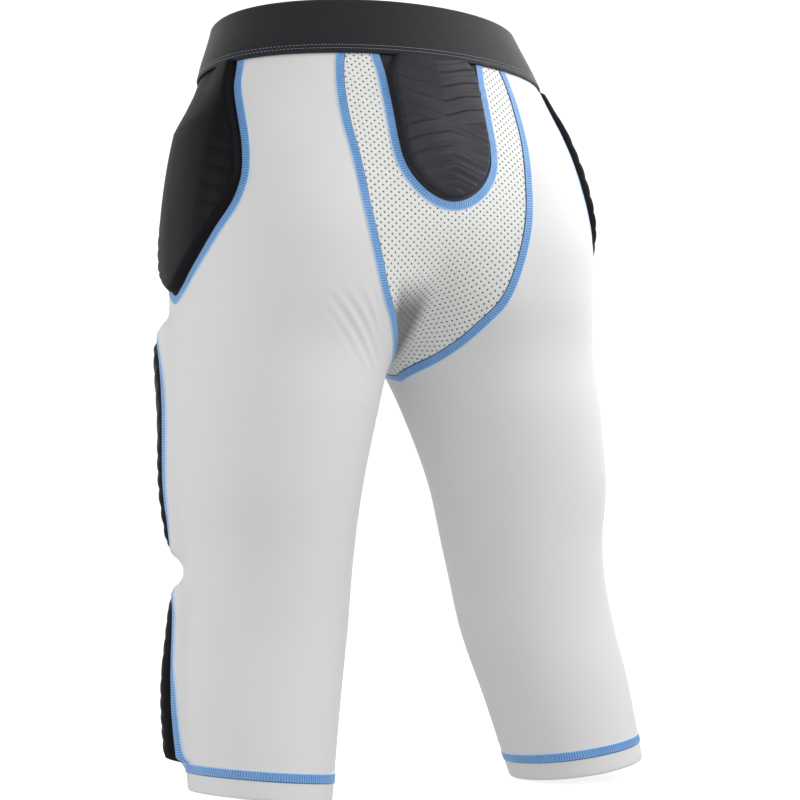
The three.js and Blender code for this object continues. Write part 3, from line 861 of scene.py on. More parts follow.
SEAM_FINISH = seam_thread("seam_thread", (0.032, 0.145, 0.40), (0.25, 0.50, 0.84), STITCH)
BAND_THREAD = seam_thread("band_thread", (0.08, 0.115, 0.17), (0.28, 0.36, 0.48), BAND_STITCH)

# %% [markdown]
# ## Leg panels
#
# One panel of cloth wraps each leg. Above the crotch its two edges follow the gusset seam; below it the
# cloth closes round the leg. A boolean would leave ragged triangles round the pads, so the grid's own
# corners next to an outline are moved onto it, and the faces inside it are left out. That keeps the
# cloth's shading clean right up to each opening.

# %% Cutting openings in a grid
NEAR_LINE = 0.26


def within_line(points, line):
    """True for each point inside a closed line."""
    x, y = points.T
    hits = np.zeros(len(points), int)
    nx, ny = np.roll(line, -1, axis=0).T
    for ax, ay, bx, by in zip(*line.T, nx, ny):
        if ay == by:
            continue
        spans = (ay > y) != (by > y)
        hits += spans & (x < ax + (y - ay) / (by - ay) * (bx - ax))
    return hits % 2 == 1


def snap_to_line(points, cell, line, moved):
    """Moves each point that is about half a cell or less from the line onto it.

    NEAR_LINE is that distance squared, as a share of a cell.
    """
    reach = np.max(cell, axis=0)
    close = np.all(points > line.min(axis=0) - reach, axis=1)
    close &= np.all(points < line.max(axis=0) + reach, axis=1)
    for i in np.flatnonzero(close):
        gap = (line - points[i]) / cell[i]
        away = (gap**2).sum(axis=1)
        best = int(np.argmin(away))
        if away[best] < NEAR_LINE:
            points[i] = line[best]
            moved[i] = True


def open_grid(points, faces, lines, moved):
    """Leaves out the faces inside the lines, splitting the ones that touch a moved corner."""
    parts = []
    for face in faces:
        on = [moved[i] for i in face]
        if not any(on):
            parts.append(face)
        elif on[1] and on[3] and not (on[0] and on[2]):
            parts.append((face[0], face[1], face[3]))
            parts.append((face[1], face[2], face[3]))
        else:
            parts.append((face[0], face[1], face[2]))
            parts.append((face[0], face[2], face[3]))
    middles = np.array([points[list(face)].mean(axis=0) for face in parts])
    gone = np.zeros(len(parts), bool)
    for line in lines:
        gone |= within_line(middles, line)
    return [face for face, out in zip(parts, gone) if not out]


# %% [markdown]
# The grid's rows follow the gusset seam down to the crotch, so they are spaced by that seam's length.
# Below the crotch the first and last columns are the same places on the leg, which closes it round. The
# outlines that reach the top or the lower edge of the cloth are drawn past it, so nothing is left there.

# %% Leg panel grid
ROW_STEP = 3.6
ROWS_BELOW_CROTCH = 82
RIM_ZONE = 1.5
PAST_RIM = 9
FLAT_MM_PER_DEGREE = 1.3


def even_rows():
    """Heights down to the crotch, evenly spaced along the gusset seam."""
    fine = np.linspace(CLOTH_TOP, CROTCH, 500)
    steps = 0
    for side in ("back", "front"):
        line, _ = round_half(seam_angle(side, -fine), -fine)
        steps = np.maximum(steps, np.linalg.norm(np.diff(line, axis=0), axis=1))
    run = np.concatenate([[0], np.cumsum(steps)])
    return np.interp(np.linspace(0, run[-1], int(run[-1] / ROW_STEP)), run, fine)


SEAM_ROWS = even_rows()
LEG_COLUMNS = 150
leg_rows = np.concatenate([SEAM_ROWS, np.linspace(CROTCH, CLOTH_BOTTOM, ROWS_BELOW_CROTCH)[1:]])
leg_z = -leg_rows
above_crotch = leg_rows < CROTCH - 0.01
leg_back = np.where(above_crotch, seam_angle("back", leg_z), -90)
leg_front = np.where(above_crotch, seam_angle("front", leg_z) + 360, 270)
share = np.linspace(0, 1, LEG_COLUMNS + 1)
leg_angles = leg_back[:, None] + (leg_front - leg_back)[:, None] * share
heights = np.repeat(leg_z[:, None], LEG_COLUMNS + 1, axis=1)
leg_scale = mean_radius(heights) * math.pi / 180
leg_chart = np.stack([leg_angles * leg_scale, heights], axis=2).reshape(-1, 2)
leg_cell = np.stack(
    [
        leg_scale * ((leg_front - leg_back) / LEG_COLUMNS)[:, None],
        np.repeat(np.abs(np.gradient(leg_z))[:, None], LEG_COLUMNS + 1, axis=1),
    ],
    axis=2,
).reshape(-1, 2)
leg_lines = []
for name in ("hip_pad", "thigh_pad", "knee_pad"):
    line = PADS[name]["line"].copy()
    line[:, 0] *= across_scale(PADS[name], line[:, 1])
    line[line[:, 1] > -CLOTH_TOP - RIM_ZONE, 1] += PAST_RIM
    line[line[:, 1] < -CLOTH_BOTTOM + RIM_ZONE, 1] -= PAST_RIM
    leg_lines.append(line)
moved = np.zeros(len(leg_chart), bool)
for line in leg_lines:
    snap_to_line(leg_chart, leg_cell, line, moved)
leg_faces = open_grid(leg_chart, grid_faces(len(leg_rows), LEG_COLUMNS + 1), leg_lines, moved)
final_z = np.clip(leg_chart[:, 1], -CLOTH_BOTTOM, -CLOTH_TOP)
final_angle = leg_chart[:, 0] / (mean_radius(final_z) * math.pi / 180)
leg_points, leg_out = round_half(final_angle, final_z)
leg_flat = np.stack([(final_angle - 90) * FLAT_MM_PER_DEGREE, final_z], axis=1)
leg_alias = np.arange(len(leg_points)).reshape(len(leg_rows), -1)
leg_alias[~above_crotch, -1] = leg_alias[~above_crotch, 0]
leg_alias = leg_alias.ravel()
print("leg panel grid:", leg_angles.shape, "places moved onto outlines:", int(moved.sum()))

# %% [markdown]
# One grid serves both legs: the right one is its mirror image, with its faces turned round so that they
# still look outwards. Each is then given its thickness.

# %% Leg panels
def leg_panel(side):
    sign = 1 if side == "left" else -1
    turn = np.array([sign, 1, 1])
    points = lay(leg_points * turn, leg_out * turn, 0.0)
    faces = leg_faces if sign > 0 else mirrored(leg_faces)
    points, faces, uvs = thicken(points, leg_flat, faces, leg_alias, SHEET)
    name = "leg_panel_" + side
    return make_piece("cloth_" + name, points, faces, uvs, CLOTH_FINISH, [name])


legs = {side: leg_panel(side) for side in ("left", "right")}

# %% [markdown]
# ## Seat gusset
#
# The gusset runs from the back of the waist, between the legs, to the front of the waist. Its rows join
# the two gusset seams, and every place between them is drawn onto the form, so it hangs
# together with the leg panels without a step. The tail pad's opening is cut as before.

# %% Seat gusset
GUSSET_COLUMNS = 60


def gusset_seam_line(rows):
    """The left seam, down the back to the crotch and up the front."""
    back, back_out = round_half(seam_angle("back", -rows), -rows)
    front, front_out = round_half(seam_angle("front", -rows[:-1]), -rows[:-1])
    return np.vstack([back, front[::-1]]), np.vstack([back_out, front_out[::-1]])


def sideways(line, out, closed=False):
    """The direction across a line, along the cloth."""
    if closed:
        ahead = np.roll(line, -1, axis=0) - np.roll(line, 1, axis=0)
    else:
        ahead = np.gradient(line, axis=0)
    across = np.cross(ahead, out)
    return across / np.linalg.norm(across, axis=1, keepdims=True)


seam_line, seam_out = gusset_seam_line(SEAM_ROWS)
edge = seam_line - sideways(seam_line, seam_out) * GAP
share = np.linspace(-1, 1, GUSSET_COLUMNS + 1)
spread = np.stack([share, 0 * share + 1, 0 * share + 1], axis=1)
rough = (edge[:, None, :] * spread[None]).reshape(-1, 3)
gusset_points, gusset_out = nearest(rough)
bare_edge, _ = nearest(edge)
either_side = np.stack([np.sign(share), 0 * share + 1, 0 * share + 1], axis=1)
raised = (edge - bare_edge)[:, None, :] * either_side
weight = np.clip((np.abs(share) - 2 / 3) * 3, 0, 1)[None, :, None]
gusset_points += (raised * weight).reshape(-1, 3)
shape = (len(edge), GUSSET_COLUMNS + 1, 3)
grid = gusset_points.reshape(shape)
steps = np.linalg.norm(np.diff(grid, axis=1), axis=2)
run = np.concatenate([np.zeros((len(edge), 1)), np.cumsum(steps, axis=1)], axis=1)
flat_x = run - run[:, -1:] / 2
centre = grid[:, GUSSET_COLUMNS // 2]
flat_y = np.concatenate([[0], np.cumsum(np.linalg.norm(np.diff(centre, axis=0), axis=1))])
gusset_down = np.repeat(flat_y[:, None], GUSSET_COLUMNS + 1, axis=1)
gusset_flat = np.stack([flat_x, gusset_down], axis=2).reshape(-1, 2)
print("gusset is", round(flat_y[-1]), "mm long and up to", round(run.max()), "mm wide")

# %% [markdown]
# The tail pad's outline is drawn on the back, in sideways and upward millimetres. The gusset's front has
# such places too, so they are put out of the outline's reach before the opening is cut.

# %% Opening for the tail pad
BACK_FROM = 20
OUT_OF_REACH = 1000
tail_line = PADS["tail_pad"]["line"].copy()
tail_line[tail_line[:, 1] > -CLOTH_TOP - RIM_ZONE, 1] += PAST_RIM
gusset_chart = gusset_points[:, [0, 2]].copy()
gusset_chart[gusset_points[:, 1] < BACK_FROM] += OUT_OF_REACH
cell_x = np.abs(np.gradient(grid[:, :, 0], axis=1))
cell_z = np.abs(np.gradient(grid[:, :, 2], axis=0))
gusset_cell = np.maximum(np.stack([cell_x, cell_z], axis=2).reshape(-1, 2), 0.5)
moved = np.zeros(len(gusset_chart), bool)
before = gusset_chart.copy()
snap_to_line(gusset_chart, gusset_cell, tail_line, moved)
gusset_faces = open_grid(gusset_chart, grid_faces(len(edge), GUSSET_COLUMNS + 1), [tail_line], moved)
shifted = gusset_chart[moved]
gusset_points[moved], gusset_out[moved] = on_back(shifted[:, 0], np.minimum(shifted[:, 1], -CLOTH_TOP))
gusset_flat[moved] += (shifted - before[moved]) * np.array([1, -1])
points = lay(gusset_points, gusset_out, 0.0)
points, faces, uvs = thicken(points, gusset_flat, gusset_faces, np.arange(len(points)), SHEET)
gusset = make_piece(
    "cloth_seat_gusset", points, faces, uvs, GUSSET_FINISH, ["seat_gusset"]
)

# %% [markdown]
# ## Foam pads
#
# A pad is a moulded foam block in a knitted cover: flat where it is sewn in, with a quick round
# shoulder, and a face with moulded ridges. A cloth simulation would lose those crisp forms, so the face is
# displaced in code. A square grid is drawn out to the pad's outline, which keeps the mesh free of a
# pinched centre, and its cells are closer together near the edge, where the shape turns most.

# %% Pad grid
def drawn_grid(pad, count):
    """Chart places of a square grid drawn out to the pad's outline."""
    side = np.linspace(-1, 1, count + 1)
    b, a = np.meshgrid(side, side, indexing="ij")
    ring = np.maximum(np.abs(a), np.abs(b))
    safe = np.maximum(ring, 1e-9)
    turn = np.where(np.abs(a) >= np.abs(b), np.where(a > 0, b / safe, 4 - b / safe),
                    np.where(b > 0, 2 - a / safe, 6 + a / safe))
    line = pad["line"]
    start = pad["start"]
    loop = np.vstack([line, line[:1]])
    along_line = np.mod(start - turn / 8, 1) * len(line)
    u = np.interp(along_line, np.arange(len(loop)), loop[:, 0])
    z = np.interp(along_line, np.arange(len(loop)), loop[:, 1])
    pull = ring * (1 + 0.4 * (1 - ring))
    middle = pad["middle"]
    return middle[0] + (u - middle[0]) * pull, middle[1] + (z - middle[1]) * pull


def start_of(pad):
    """The share of the outline's length where it passes level with the pad's middle."""
    line = pad["line"]
    side = line[:, 0] > pad["middle"][0]
    level = np.where(side, np.abs(line[:, 1] - pad["middle"][1]), 1e9)
    return int(np.argmin(level)) / len(line)


def scale_edge(phase, steep=0.17):
    """Overlapping scales: a quick rise, then a slow fall, over each turn of the phase."""
    t = np.mod(phase, 1)
    return np.minimum(t / steep, (1 - t) / (1 - steep))


def pillow(phase):
    """Round rolls with narrow grooves between them, over each turn of the phase."""
    return np.abs(np.sin(np.pi * phase)) ** 0.6


UPPER_SCALE_AT = 61.5
LOWER_SCALE_AT = 73.5
SCALE_PITCH = 12


def tail_relief(across, down, height):
    """Scales that point down in the upper half of the pad and up in the lower half."""
    wobble = 0.5 * np.sin(across / 11 + down / 17) + 0.35 * np.sin(across / 5.5 - down / 23 + 1)
    reach = np.sqrt(across**2 + 4)
    upper = (down + 0.25 * reach + wobble - UPPER_SCALE_AT) / SCALE_PITCH
    lower = (down - 0.3 * reach + wobble - LOWER_SCALE_AT) / SCALE_PITCH
    share = smooth_step(down, 0.47 * height, 0.53 * height)
    main = scale_edge(upper) * (1 - share) + scale_edge(lower) * share
    fine = scale_edge(2 * upper + 0.1) * (1 - share) + scale_edge(2 * lower + 0.1) * share
    fade = 0.8 + 0.2 * np.sin(across / 9 + down / 13)
    return (1.95 * main + 0.7 * fine) * fade


def hip_relief(across, down, height):
    lower_front = smooth_step(across, 6, 34) * smooth_step(down, 0.62 * height, 0.78 * height)
    rolls = pillow((down - 0.2 * np.sqrt(across**2 + 60)) / 10.5)
    rear = smooth_step(-across, 46, 62)
    rear_rolls = pillow((down + 0.3 * across) / 14)
    return 1.7 * lower_front * (rolls - 0.5) + rear * (1.3 * rear_rolls - 2.6)


def limb_relief(pitch, depth):
    def relief(across, down, height):
        bend = 0.3 * np.sqrt(across**2 + 60)
        wobble = 2.6 * np.sin(down / 27 + 0.8) + 1.2 * np.sin(across / 19 + down / 13)
        upper = pillow((down + bend + wobble) / pitch)
        lower = pillow((down - bend + wobble) / pitch)
        share = smooth_step(down, 0.44 * height, 0.54 * height)
        swell = 0.75 + 0.25 * np.sin(down / 29 + 2)
        return depth * swell * (upper * (1 - share) + lower * share)

    return relief


PLAIN_TAPER = [(6, 0), (15, 1)]
TAIL_TAPER = [(5, 0), (11, 1)]
HIP_REAR_TAPER = [(2, 0), (9, 1)]
HIP_TAPER = [(8, 0), (15, 0.1), (24, 0.2), (41, 0.52), (60, 1)]
for pad in PADS.values():
    pad.update(start=start_of(pad), flange=5, shoulder=6, brow=0)
    pad.update(taper=PLAIN_TAPER, rear_taper=PLAIN_TAPER)
PADS["tail_pad"].update(flange=6.5, shoulder=4, corner=30, relief=tail_relief, cells=132)
PADS["tail_pad"].update(taper=TAIL_TAPER, rear_taper=TAIL_TAPER)
PADS["hip_pad"].update(taper=HIP_TAPER, rear_taper=HIP_REAR_TAPER, relief=hip_relief, cells=120)
PADS["thigh_pad"].update(brow=14, shoulder=5, rise=3.4, relief=limb_relief(15.5, 1.9), cells=116)
PADS["knee_pad"].update(brow=84, shoulder=8, rise=7.6, relief=limb_relief(12.5, 1.7), cells=104)
print("cells across each pad:", {name: pad["cells"] for name, pad in PADS.items()})

# %% [markdown]
# A pad's height over the cloth comes from the distance to its outline: a flat flange, a round shoulder,
# a low crown, and then the relief. Pads that start under the waistband taper in from it, and the knee
# and thigh pads are lower at their upper end. The thigh pad stands a little lower here than in the
# frame and the knee pad a little higher, which fits their black edges in the photograph better.

# %% Pad faces
SHOULDER_SHORT = 1.6
SHOULDER_CURVE = 2.3
CROWN_RISE = 1.4
CROWN_REACH = 24
REAR_ZONE = (-56, -20)
BROW_SHARE = 0.25


def distance_to_edge(points, rim_points):
    gap = np.empty(len(points))
    for first in range(0, len(points), 1500):
        part = points[first : first + 1500]
        away = ((part[:, None, :] - rim_points[None]) ** 2).sum(axis=2)
        gap[first : first + 1500] = np.sqrt(away.min(axis=1))
    return gap


def pad_rise(pad, points, rim_points, u, z):
    inset = distance_to_edge(points, rim_points) - pad["flange"]
    down = -z - pad["top"]
    if "corner" in pad:
        round_by = pad["corner"]
        side = np.clip(1 - inset / round_by, 0, None)
        above = np.clip(1 - (down - 1) / round_by, 0, 1)
        inset = round_by * (1 - np.hypot(side, above))
    climb = np.clip(inset / pad["shoulder"], 0, 1)
    shoulder = 1 - (1 - climb) ** SHOULDER_CURVE
    crown = 1 - np.exp(-np.maximum(inset, 0) / CROWN_REACH)
    across = (u - pad["axis"]) * across_scale(pad, z)
    relief = pad["relief"](across, down, pad["height"])
    rise = (pad["rise"] - SHOULDER_SHORT) * shoulder + CROWN_RISE * crown + relief * climb
    if pad["open_top"]:
        front = np.interp(down, *zip(*pad["taper"]))
        rear = np.interp(down, *zip(*pad["rear_taper"]))
        rise *= rear + (front - rear) * smooth_step(across, *REAR_ZONE)
    if pad["brow"]:
        rise *= BROW_SHARE + (1 - BROW_SHARE) * smooth_step(down, -4, pad["brow"])
    return rise


def foam_pad(kind, side):
    pad = PADS[kind]
    if "grid" not in pad:
        count = pad["cells"]
        u, z = (a.ravel() for a in drawn_grid(pad, count))
        points, out = place(pad, u, z)
        rim_points, _ = place(pad, pad["line"][:, 0], pad["line"][:, 1])
        if pad["open_top"]:
            rim_points = rim_points[pad["line"][:, 1] < -pad["top"] - 1]
        pad["grid"] = (u, z, points, out, pad_rise(pad, points, rim_points, u, z))
    u, z, points, out, rise = pad["grid"]
    turn = np.array([-1 if side == "right" else 1, 1, 1])
    count = pad["cells"]
    outer = lay(points * turn, out * turn, rise - 0.15)
    inner = lay(points * turn, out * turn, -CLOTH + 0.1 + 0.35 * np.minimum(rise, 2) / 2)
    faces = grid_faces(count + 1, count + 1)
    a, b, c = (outer[faces[len(faces) // 2][i]] for i in (0, 1, 2))
    facing = float(np.dot(np.cross(b - a, c - a), (out * turn)[faces[len(faces) // 2][0]]))
    if facing < 0:
        faces = mirrored(faces)
    total = len(outer)
    flat = np.stack([(u - pad["axis"]) * across_scale(pad, z), z], axis=1)
    back = [tuple(i + total for i in reversed(face)) for face in faces]
    edges = set()
    for face in faces:
        for k in range(4):
            edges.add((face[k], face[(k + 1) % 4]))
    rim_faces = [(b, a, a + total, b + total) for a, b in edges if (b, a) not in edges]
    all_faces = faces + back + rim_faces
    all_points = np.vstack([outer, inner])
    uvs = [[flat[i % total] for i in face] for face in all_faces]
    node = kind if side == "middle" else f"{kind}_{side}"
    cover = LIT_TAIL_FINISH if kind == "tail_pad" else PAD_FINISH
    piece = make_piece("foam_" + node, all_points, all_faces, uvs, cover, [node])
    return piece


pads = {"tail_pad": foam_pad("tail_pad", "middle")}
for kind in ("hip_pad", "thigh_pad", "knee_pad"):
    for side in ("left", "right"):
        pads[f"{kind}_{side}"] = foam_pad(kind, side)
print("pads made:", len(pads))

# %% [markdown]
# ## Waistband
#
# The waistband is one elastic strip, thicker than the cloth, with soft rolled edges. Its cross section
# is drawn as a closed loop of height and distance from the form, and swept round the waist.

# %% Waistband
BAND_COLUMNS = 400
WAIST_ROUND = 810
outer_z = np.linspace(-46.5, -3, 20)
bulge = 2.4 + 0.35 * np.sin(np.pi * (outer_z + BAND_HEIGHT) / BAND_HEIGHT)
bulge = bulge - 0.35 * np.exp(-(((outer_z + 44) / 3) ** 2))
profile = [(-49.3, 0.75), (-49.9, 1.3), (-49.8, 2.0), (-48.6, 2.45)]
profile += list(zip(outer_z, bulge))
profile += [(-1.0, 2.3), (-0.1, 1.9), (0.15, 1.4), (-0.3, 0.85)]
profile += [(z, 0.62) for z in np.linspace(-3, -46, 8)]
profile = np.array(profile)


def swept_ring(chart, profile, columns, start, pitch):
    """Sweeps a closed profile of height and distance round a ring of the form."""
    angles = start + np.arange(columns) * 360 / columns
    z, rise = profile.T
    grid_angle = np.repeat(angles[None], len(z), axis=0)
    grid_z = np.repeat(z[:, None], columns, axis=1)
    points, out = chart(grid_angle, grid_z)
    rises = np.repeat(rise[:, None], columns, axis=1).ravel()
    index = np.arange(len(z) * columns).reshape(len(z), columns)
    loop = np.vstack([profile, profile[:1]])
    run = np.concatenate([[0], np.cumsum(np.hypot(*np.diff(loop, axis=0).T))])
    faces = []
    uvs = []
    for j in range(len(z)):
        n = (j + 1) % len(z)
        for i in range(columns):
            m = (i + 1) % columns
            faces.append((index[n, i], index[n, m], index[j, m], index[j, i]))
            left, right = i * pitch, (i + 1) * pitch
            uvs.append([(left, run[j + 1]), (right, run[j + 1]), (right, run[j]), (left, run[j])])
    return points, out, rises, [tuple(int(i) for i in face) for face in faces], uvs


band_pitch = WAIST_ROUND / BAND_COLUMNS
points, out, rises, faces, uvs = swept_ring(round_waist, profile, BAND_COLUMNS, 0, band_pitch)
band_points = lay(points, out, rises)
band = make_piece("elastic_waistband", band_points, faces, uvs, BAND_FINISH, ["waistband"])

# %% [markdown]
# ## Hems
#
# Each leg ends in a turned hem: two layers of the same cloth, so it is thicker, with a round lower fold.

# %% Hems
HEM_COLUMNS = 180
HEM_PITCH = 2.1
hem_top = -(LENGTH - HEM_HEIGHT)
hem_profile = [(hem_top - 0.3, -0.9), (hem_top - 0.2, -0.1)]
hem_profile += [(z, 0.05) for z in np.linspace(hem_top - 2, -LENGTH + 2.5, 6)]
hem_profile += [(-LENGTH + 1.2, -0.1), (-LENGTH + 0.3, -0.6), (-LENGTH, -1.4), (-LENGTH + 0.3, -2.1)]
hem_profile += [(-LENGTH + 1.5, -2.6), (-LENGTH + 6, -2.7), (hem_top - 6, -2.7), (hem_top - 1, -2.5)]
hem_profile += [(hem_top - 0.4, -1.8)]
hem_profile = np.array(hem_profile)[::-1]
hem_parts = swept_ring(round_half, hem_profile, HEM_COLUMNS, -90, HEM_PITCH)
hem_points, hem_out, hem_rises, hem_faces, hem_uvs = hem_parts


def hem(side):
    turn = np.array([1 if side == "left" else -1, 1, 1])
    points = lay(hem_points * turn, hem_out * turn, hem_rises)
    faces = hem_faces if side == "left" else mirrored(hem_faces)
    uvs = hem_uvs if side == "left" else [face[::-1] for face in hem_uvs]
    name = "hem_" + side
    return make_piece("cloth_" + name, points, faces, uvs, CLOTH_FINISH, [name])


hems = {side: hem(side) for side in ("left", "right")}

# %% [markdown]
# ## Flat seams
#
# Every joint is a flat seam: a band of interlocking thread about 8 mm wide that lies over both edges.
# A flat ribbon with a picture of stitches would look painted on, so each seam is a mesh with four steps
# to a stitch, which gives the ladder real relief. Each place is drawn onto the cloth, so that a seam
# follows every curve.

# %% Seam ribbon
RIBBON_STEP = STITCH / 4
RIBBON_ACROSS = np.array([-4.15, -3.95, -3.5, -2.9, -1.9, -0.7, 0.7, 1.9, 2.9, 3.5, 3.95, 4.15])
RIBBON_HEIGHT = np.array([-0.5, 0.25, 0.72, 0.72, 0.62, 0.6, 0.6, 0.62, 0.72, 0.72, 0.25, -0.5])


def even_line(points, closed):
    """The same line with four steps to each stitch."""
    if closed:
        points = np.vstack([points, points[:1]])
    run = np.concatenate([[0], np.cumsum(np.linalg.norm(np.diff(points, axis=0), axis=1))])
    stitches = round(run[-1] / STITCH)
    even = np.linspace(0, run[-1], 4 * stitches + 1)
    if closed:
        even = even[:-1]
    return np.stack([np.interp(even, run, points[:, k]) for k in range(3)], axis=1)


def soften(line, closed, times=6):
    """Rounds off the small corners of a line, keeping its ends."""
    for _ in range(times):
        if closed:
            line = (np.roll(line, 1, axis=0) + 2 * line + np.roll(line, -1, axis=0)) / 4
        else:
            line[1:-1] = (line[:-2] + 2 * line[1:-1] + line[2:]) / 4
    return line


def ribbon(points, closed, shade_side):
    """Places, normals, heights, faces and flat coordinates of a seam along a line on the cloth.

    The line is turned so that the seam's edge with the painted shade is the one nearer to the given place.
    """
    line = soften(even_line(points, closed), closed)
    line, out = on_cloth(line)
    across = sideways(line, out, closed)
    half_way = len(line) // 2
    if np.dot(across[half_way], shade_side - line[half_way]) > 0:
        line, out, across = line[::-1], out[::-1], -across[::-1]
    wide = RIBBON_ACROSS
    spread = line[:, None] + across[:, None] * wide[None, :, None]
    places, normals = on_cloth(spread.reshape(-1, 3))
    count = len(line)
    run = np.arange(count)[:, None] * RIBBON_STEP
    inner = np.clip((3.3 - np.abs(wide)) / 0.6, 0, 1)[None]
    rung = 0.5 + 0.5 * np.cos(2 * np.pi * (run + 0.22 * wide[None]) / STITCH)
    slack = 0.05 * np.sin(run / 9 + wide[None]) + 0.04 * np.sin(run / 3.7)
    height = RIBBON_HEIGHT[None] + 0.26 * (rung - 0.3) * inner + slack * (RIBBON_HEIGHT > 0)
    edge = (np.abs(wide) > 3.8)[None] & (RIBBON_HEIGHT > 0)
    height = height + 0.12 * (rung - 0.5) * edge
    many = len(wide)
    index = np.arange(count * many).reshape(count, many)
    faces = []
    uvs = []
    for j in range(count if closed else count - 1):
        n = (j + 1) % count
        low, high = j * RIBBON_STEP, (j + 1) * RIBBON_STEP
        for k in range(many):
            m = (k + 1) % many
            faces.append((index[j, k], index[j, m], index[n, m], index[n, k]))
            uvs.append([(wide[k], low), (wide[m], low), (wide[m], high), (wide[k], high)])
    if not closed:
        for j, order in ((0, slice(None, None, -1)), (count - 1, slice(None))):
            faces.append(tuple(index[j][order]))
            uvs.append([(w, j * RIBBON_STEP) for w in wide[order]])
    faces = [tuple(int(i) for i in face) for face in faces]
    middle = many // 2
    a, b, c = places[index[0, middle - 1]], places[index[0, middle]], places[index[1, middle]]
    if np.dot(np.cross(b - a, c - a), out[0]) < 0:
        faces = mirrored(faces)
        uvs = [face[::-1] for face in uvs]
    return places, normals, height.ravel(), faces, uvs


def seam_piece(name, parts, side):
    places, normals, height, faces, uvs = parts
    turn = np.array([-1 if side == "right" else 1, 1, 1])
    points = lay(places * turn, normals * turn, height)
    if side == "right":
        faces = mirrored(faces)
        uvs = [face[::-1] for face in uvs]
    return make_piece(name, points, faces, uvs, SEAM_FINISH)


# %% [markdown]
# A seam runs along the gusset on each side, round each pad and round each hem. Those that reach the
# waistband stop under it, so they are open lines, while the others are closed.

# %% Seams
def open_part(points, keep):
    """The kept stretch of a closed line, in order, starting where it begins."""
    first = int(np.flatnonzero(keep & ~np.roll(keep, 1))[0])
    rolled = np.roll(np.arange(len(points)), -first)
    return points[rolled[keep[rolled]]]


SEAM_TOP = -(BAND_HEIGHT - 4)
# Places that say which edge of each seam gets the painted shade.
GUSSET_SHADE_SIDE = np.array([-300, 0, -200])
HEM_SHADE_SIDE = np.array([0, 0, -2000])
seams = []
gusset_ribbon = ribbon(seam_line[seam_line[:, 2] < SEAM_TOP], False, GUSSET_SHADE_SIDE)
for side in ("left", "right"):
    seams.append(seam_piece(f"seam_gusset_{side}", gusset_ribbon, side))
for kind, pad in PADS.items():
    u, z = pad["line"].T
    line, _ = place(pad, u, z)
    keep = np.ones(len(z), bool)
    if pad["open_top"]:
        keep &= z < SEAM_TOP
    if pad["open_bottom"]:
        keep &= z > -CLOTH_BOTTOM + 1
    closed = bool(keep.all())
    pad_middle = line.mean(axis=0)
    parts = ribbon(line if closed else open_part(line, keep), closed, pad_middle)
    for side in ("middle",) if kind == "tail_pad" else ("left", "right"):
        seams.append(seam_piece(f"seam_{kind}_{side}", parts, side))
ring, _ = round_half(np.arange(-90, 270, 1.0), hem_top)
hem_ribbon = ribbon(ring, True, HEM_SHADE_SIDE)
for side in ("left", "right"):
    seams.append(seam_piece(f"seam_hem_{side}", hem_ribbon, side))
print("seams made:", len(seams))

# %% [markdown]
# The waistband is sewn on with two rows of small stitches just above its lower edge. Each stitch is a
# short bead of thread pressed into the elastic.

# %% Waistband stitches
def bead(half_long, thick):
    """A short rounded bead: places along it and round it, and its faces."""
    rings = [(-1.0, 0.35), (-0.7, 0.85), (0.0, 1.0), (0.7, 0.85), (1.0, 0.35)]
    turns = np.arange(6) * math.pi / 3
    places = []
    for s, r in rings:
        for t in turns:
            places.append((s * half_long, r * thick * math.cos(t), r * thick * math.sin(t)))
    faces = []
    for j in range(4):
        for i in range(6):
            m = (i + 1) % 6
            faces.append((6 * j + i, 6 * j + m, 6 * j + 6 + m, 6 * j + 6 + i))
    faces.append(tuple(range(5, -1, -1)))
    faces.append(tuple(range(24, 30)))
    return np.array(places), faces


def stitch_row(z, pitch, shift):
    count = int(WAIST_ROUND / pitch)
    angles = (np.arange(count) + shift) * 360 / count
    points, out = round_waist(angles, z)
    rise = float(np.interp(z, outer_z, bulge)) + 0.05
    centres = lay(points, out, rise)
    ahead = np.roll(centres, -1, axis=0) - np.roll(centres, 1, axis=0)
    ahead /= np.linalg.norm(ahead, axis=1, keepdims=True)
    up = np.cross(ahead, out)
    up /= np.linalg.norm(up, axis=1, keepdims=True)
    return centres, ahead, up, np.cross(up, ahead)


def band_stitches(rows):
    shape, shape_faces = bead(1.05, 0.3)
    points, faces, uvs = [], [], []
    for z, pitch, shift in rows:
        for centre, ahead, up, out in zip(*stitch_row(z, pitch, shift)):
            base = len(points) * len(shape)
            points.append(centre + shape[:, :1] * ahead + shape[:, 1:2] * up + shape[:, 2:] * out)
            for face in shape_faces:
                faces.append(tuple(i + base for i in face))
                uvs.append([(shape[i][1], shape[i][0]) for i in face])
    return np.vstack(points), faces, uvs


BAND_STITCH_PITCH = 2.7
STITCH_ROWS = [(-43.2, BAND_STITCH_PITCH, 0.0), (-46.2, BAND_STITCH_PITCH, 0.5)]
points, faces, uvs = band_stitches(STITCH_ROWS)
stitches = make_piece("stitches_waistband", points, faces, uvs, BAND_THREAD)

# %% [markdown]
# ## Cloth facts
#
# Each sheet's cut size is listed below, and the worn area of each piece is measured, but nothing is
# done with either. The cloth is stretched when worn, so a cut is smaller than the worn panel.

# %% Sheets
PANEL_CUT = (0.42, 0.58)
GUSSET_CUT = (0.2, 0.62)
BAND_CUT = (0.055, 0.72)
HEM_CUT = (0.045, 0.34)


def outer_area(piece):
    mesh = piece.data
    areas = np.zeros(len(mesh.polygons))
    mesh.polygons.foreach_get("area", areas)
    return float(areas.sum()) / 2


def declare(piece, width, length, stretch=0.85):
    worn = outer_area(piece)


for piece in legs.values():
    declare(piece, *PANEL_CUT)
declare(gusset, *GUSSET_CUT)
declare(band, *BAND_CUT)
for piece in hems.values():
    declare(piece, *HEM_CUT)

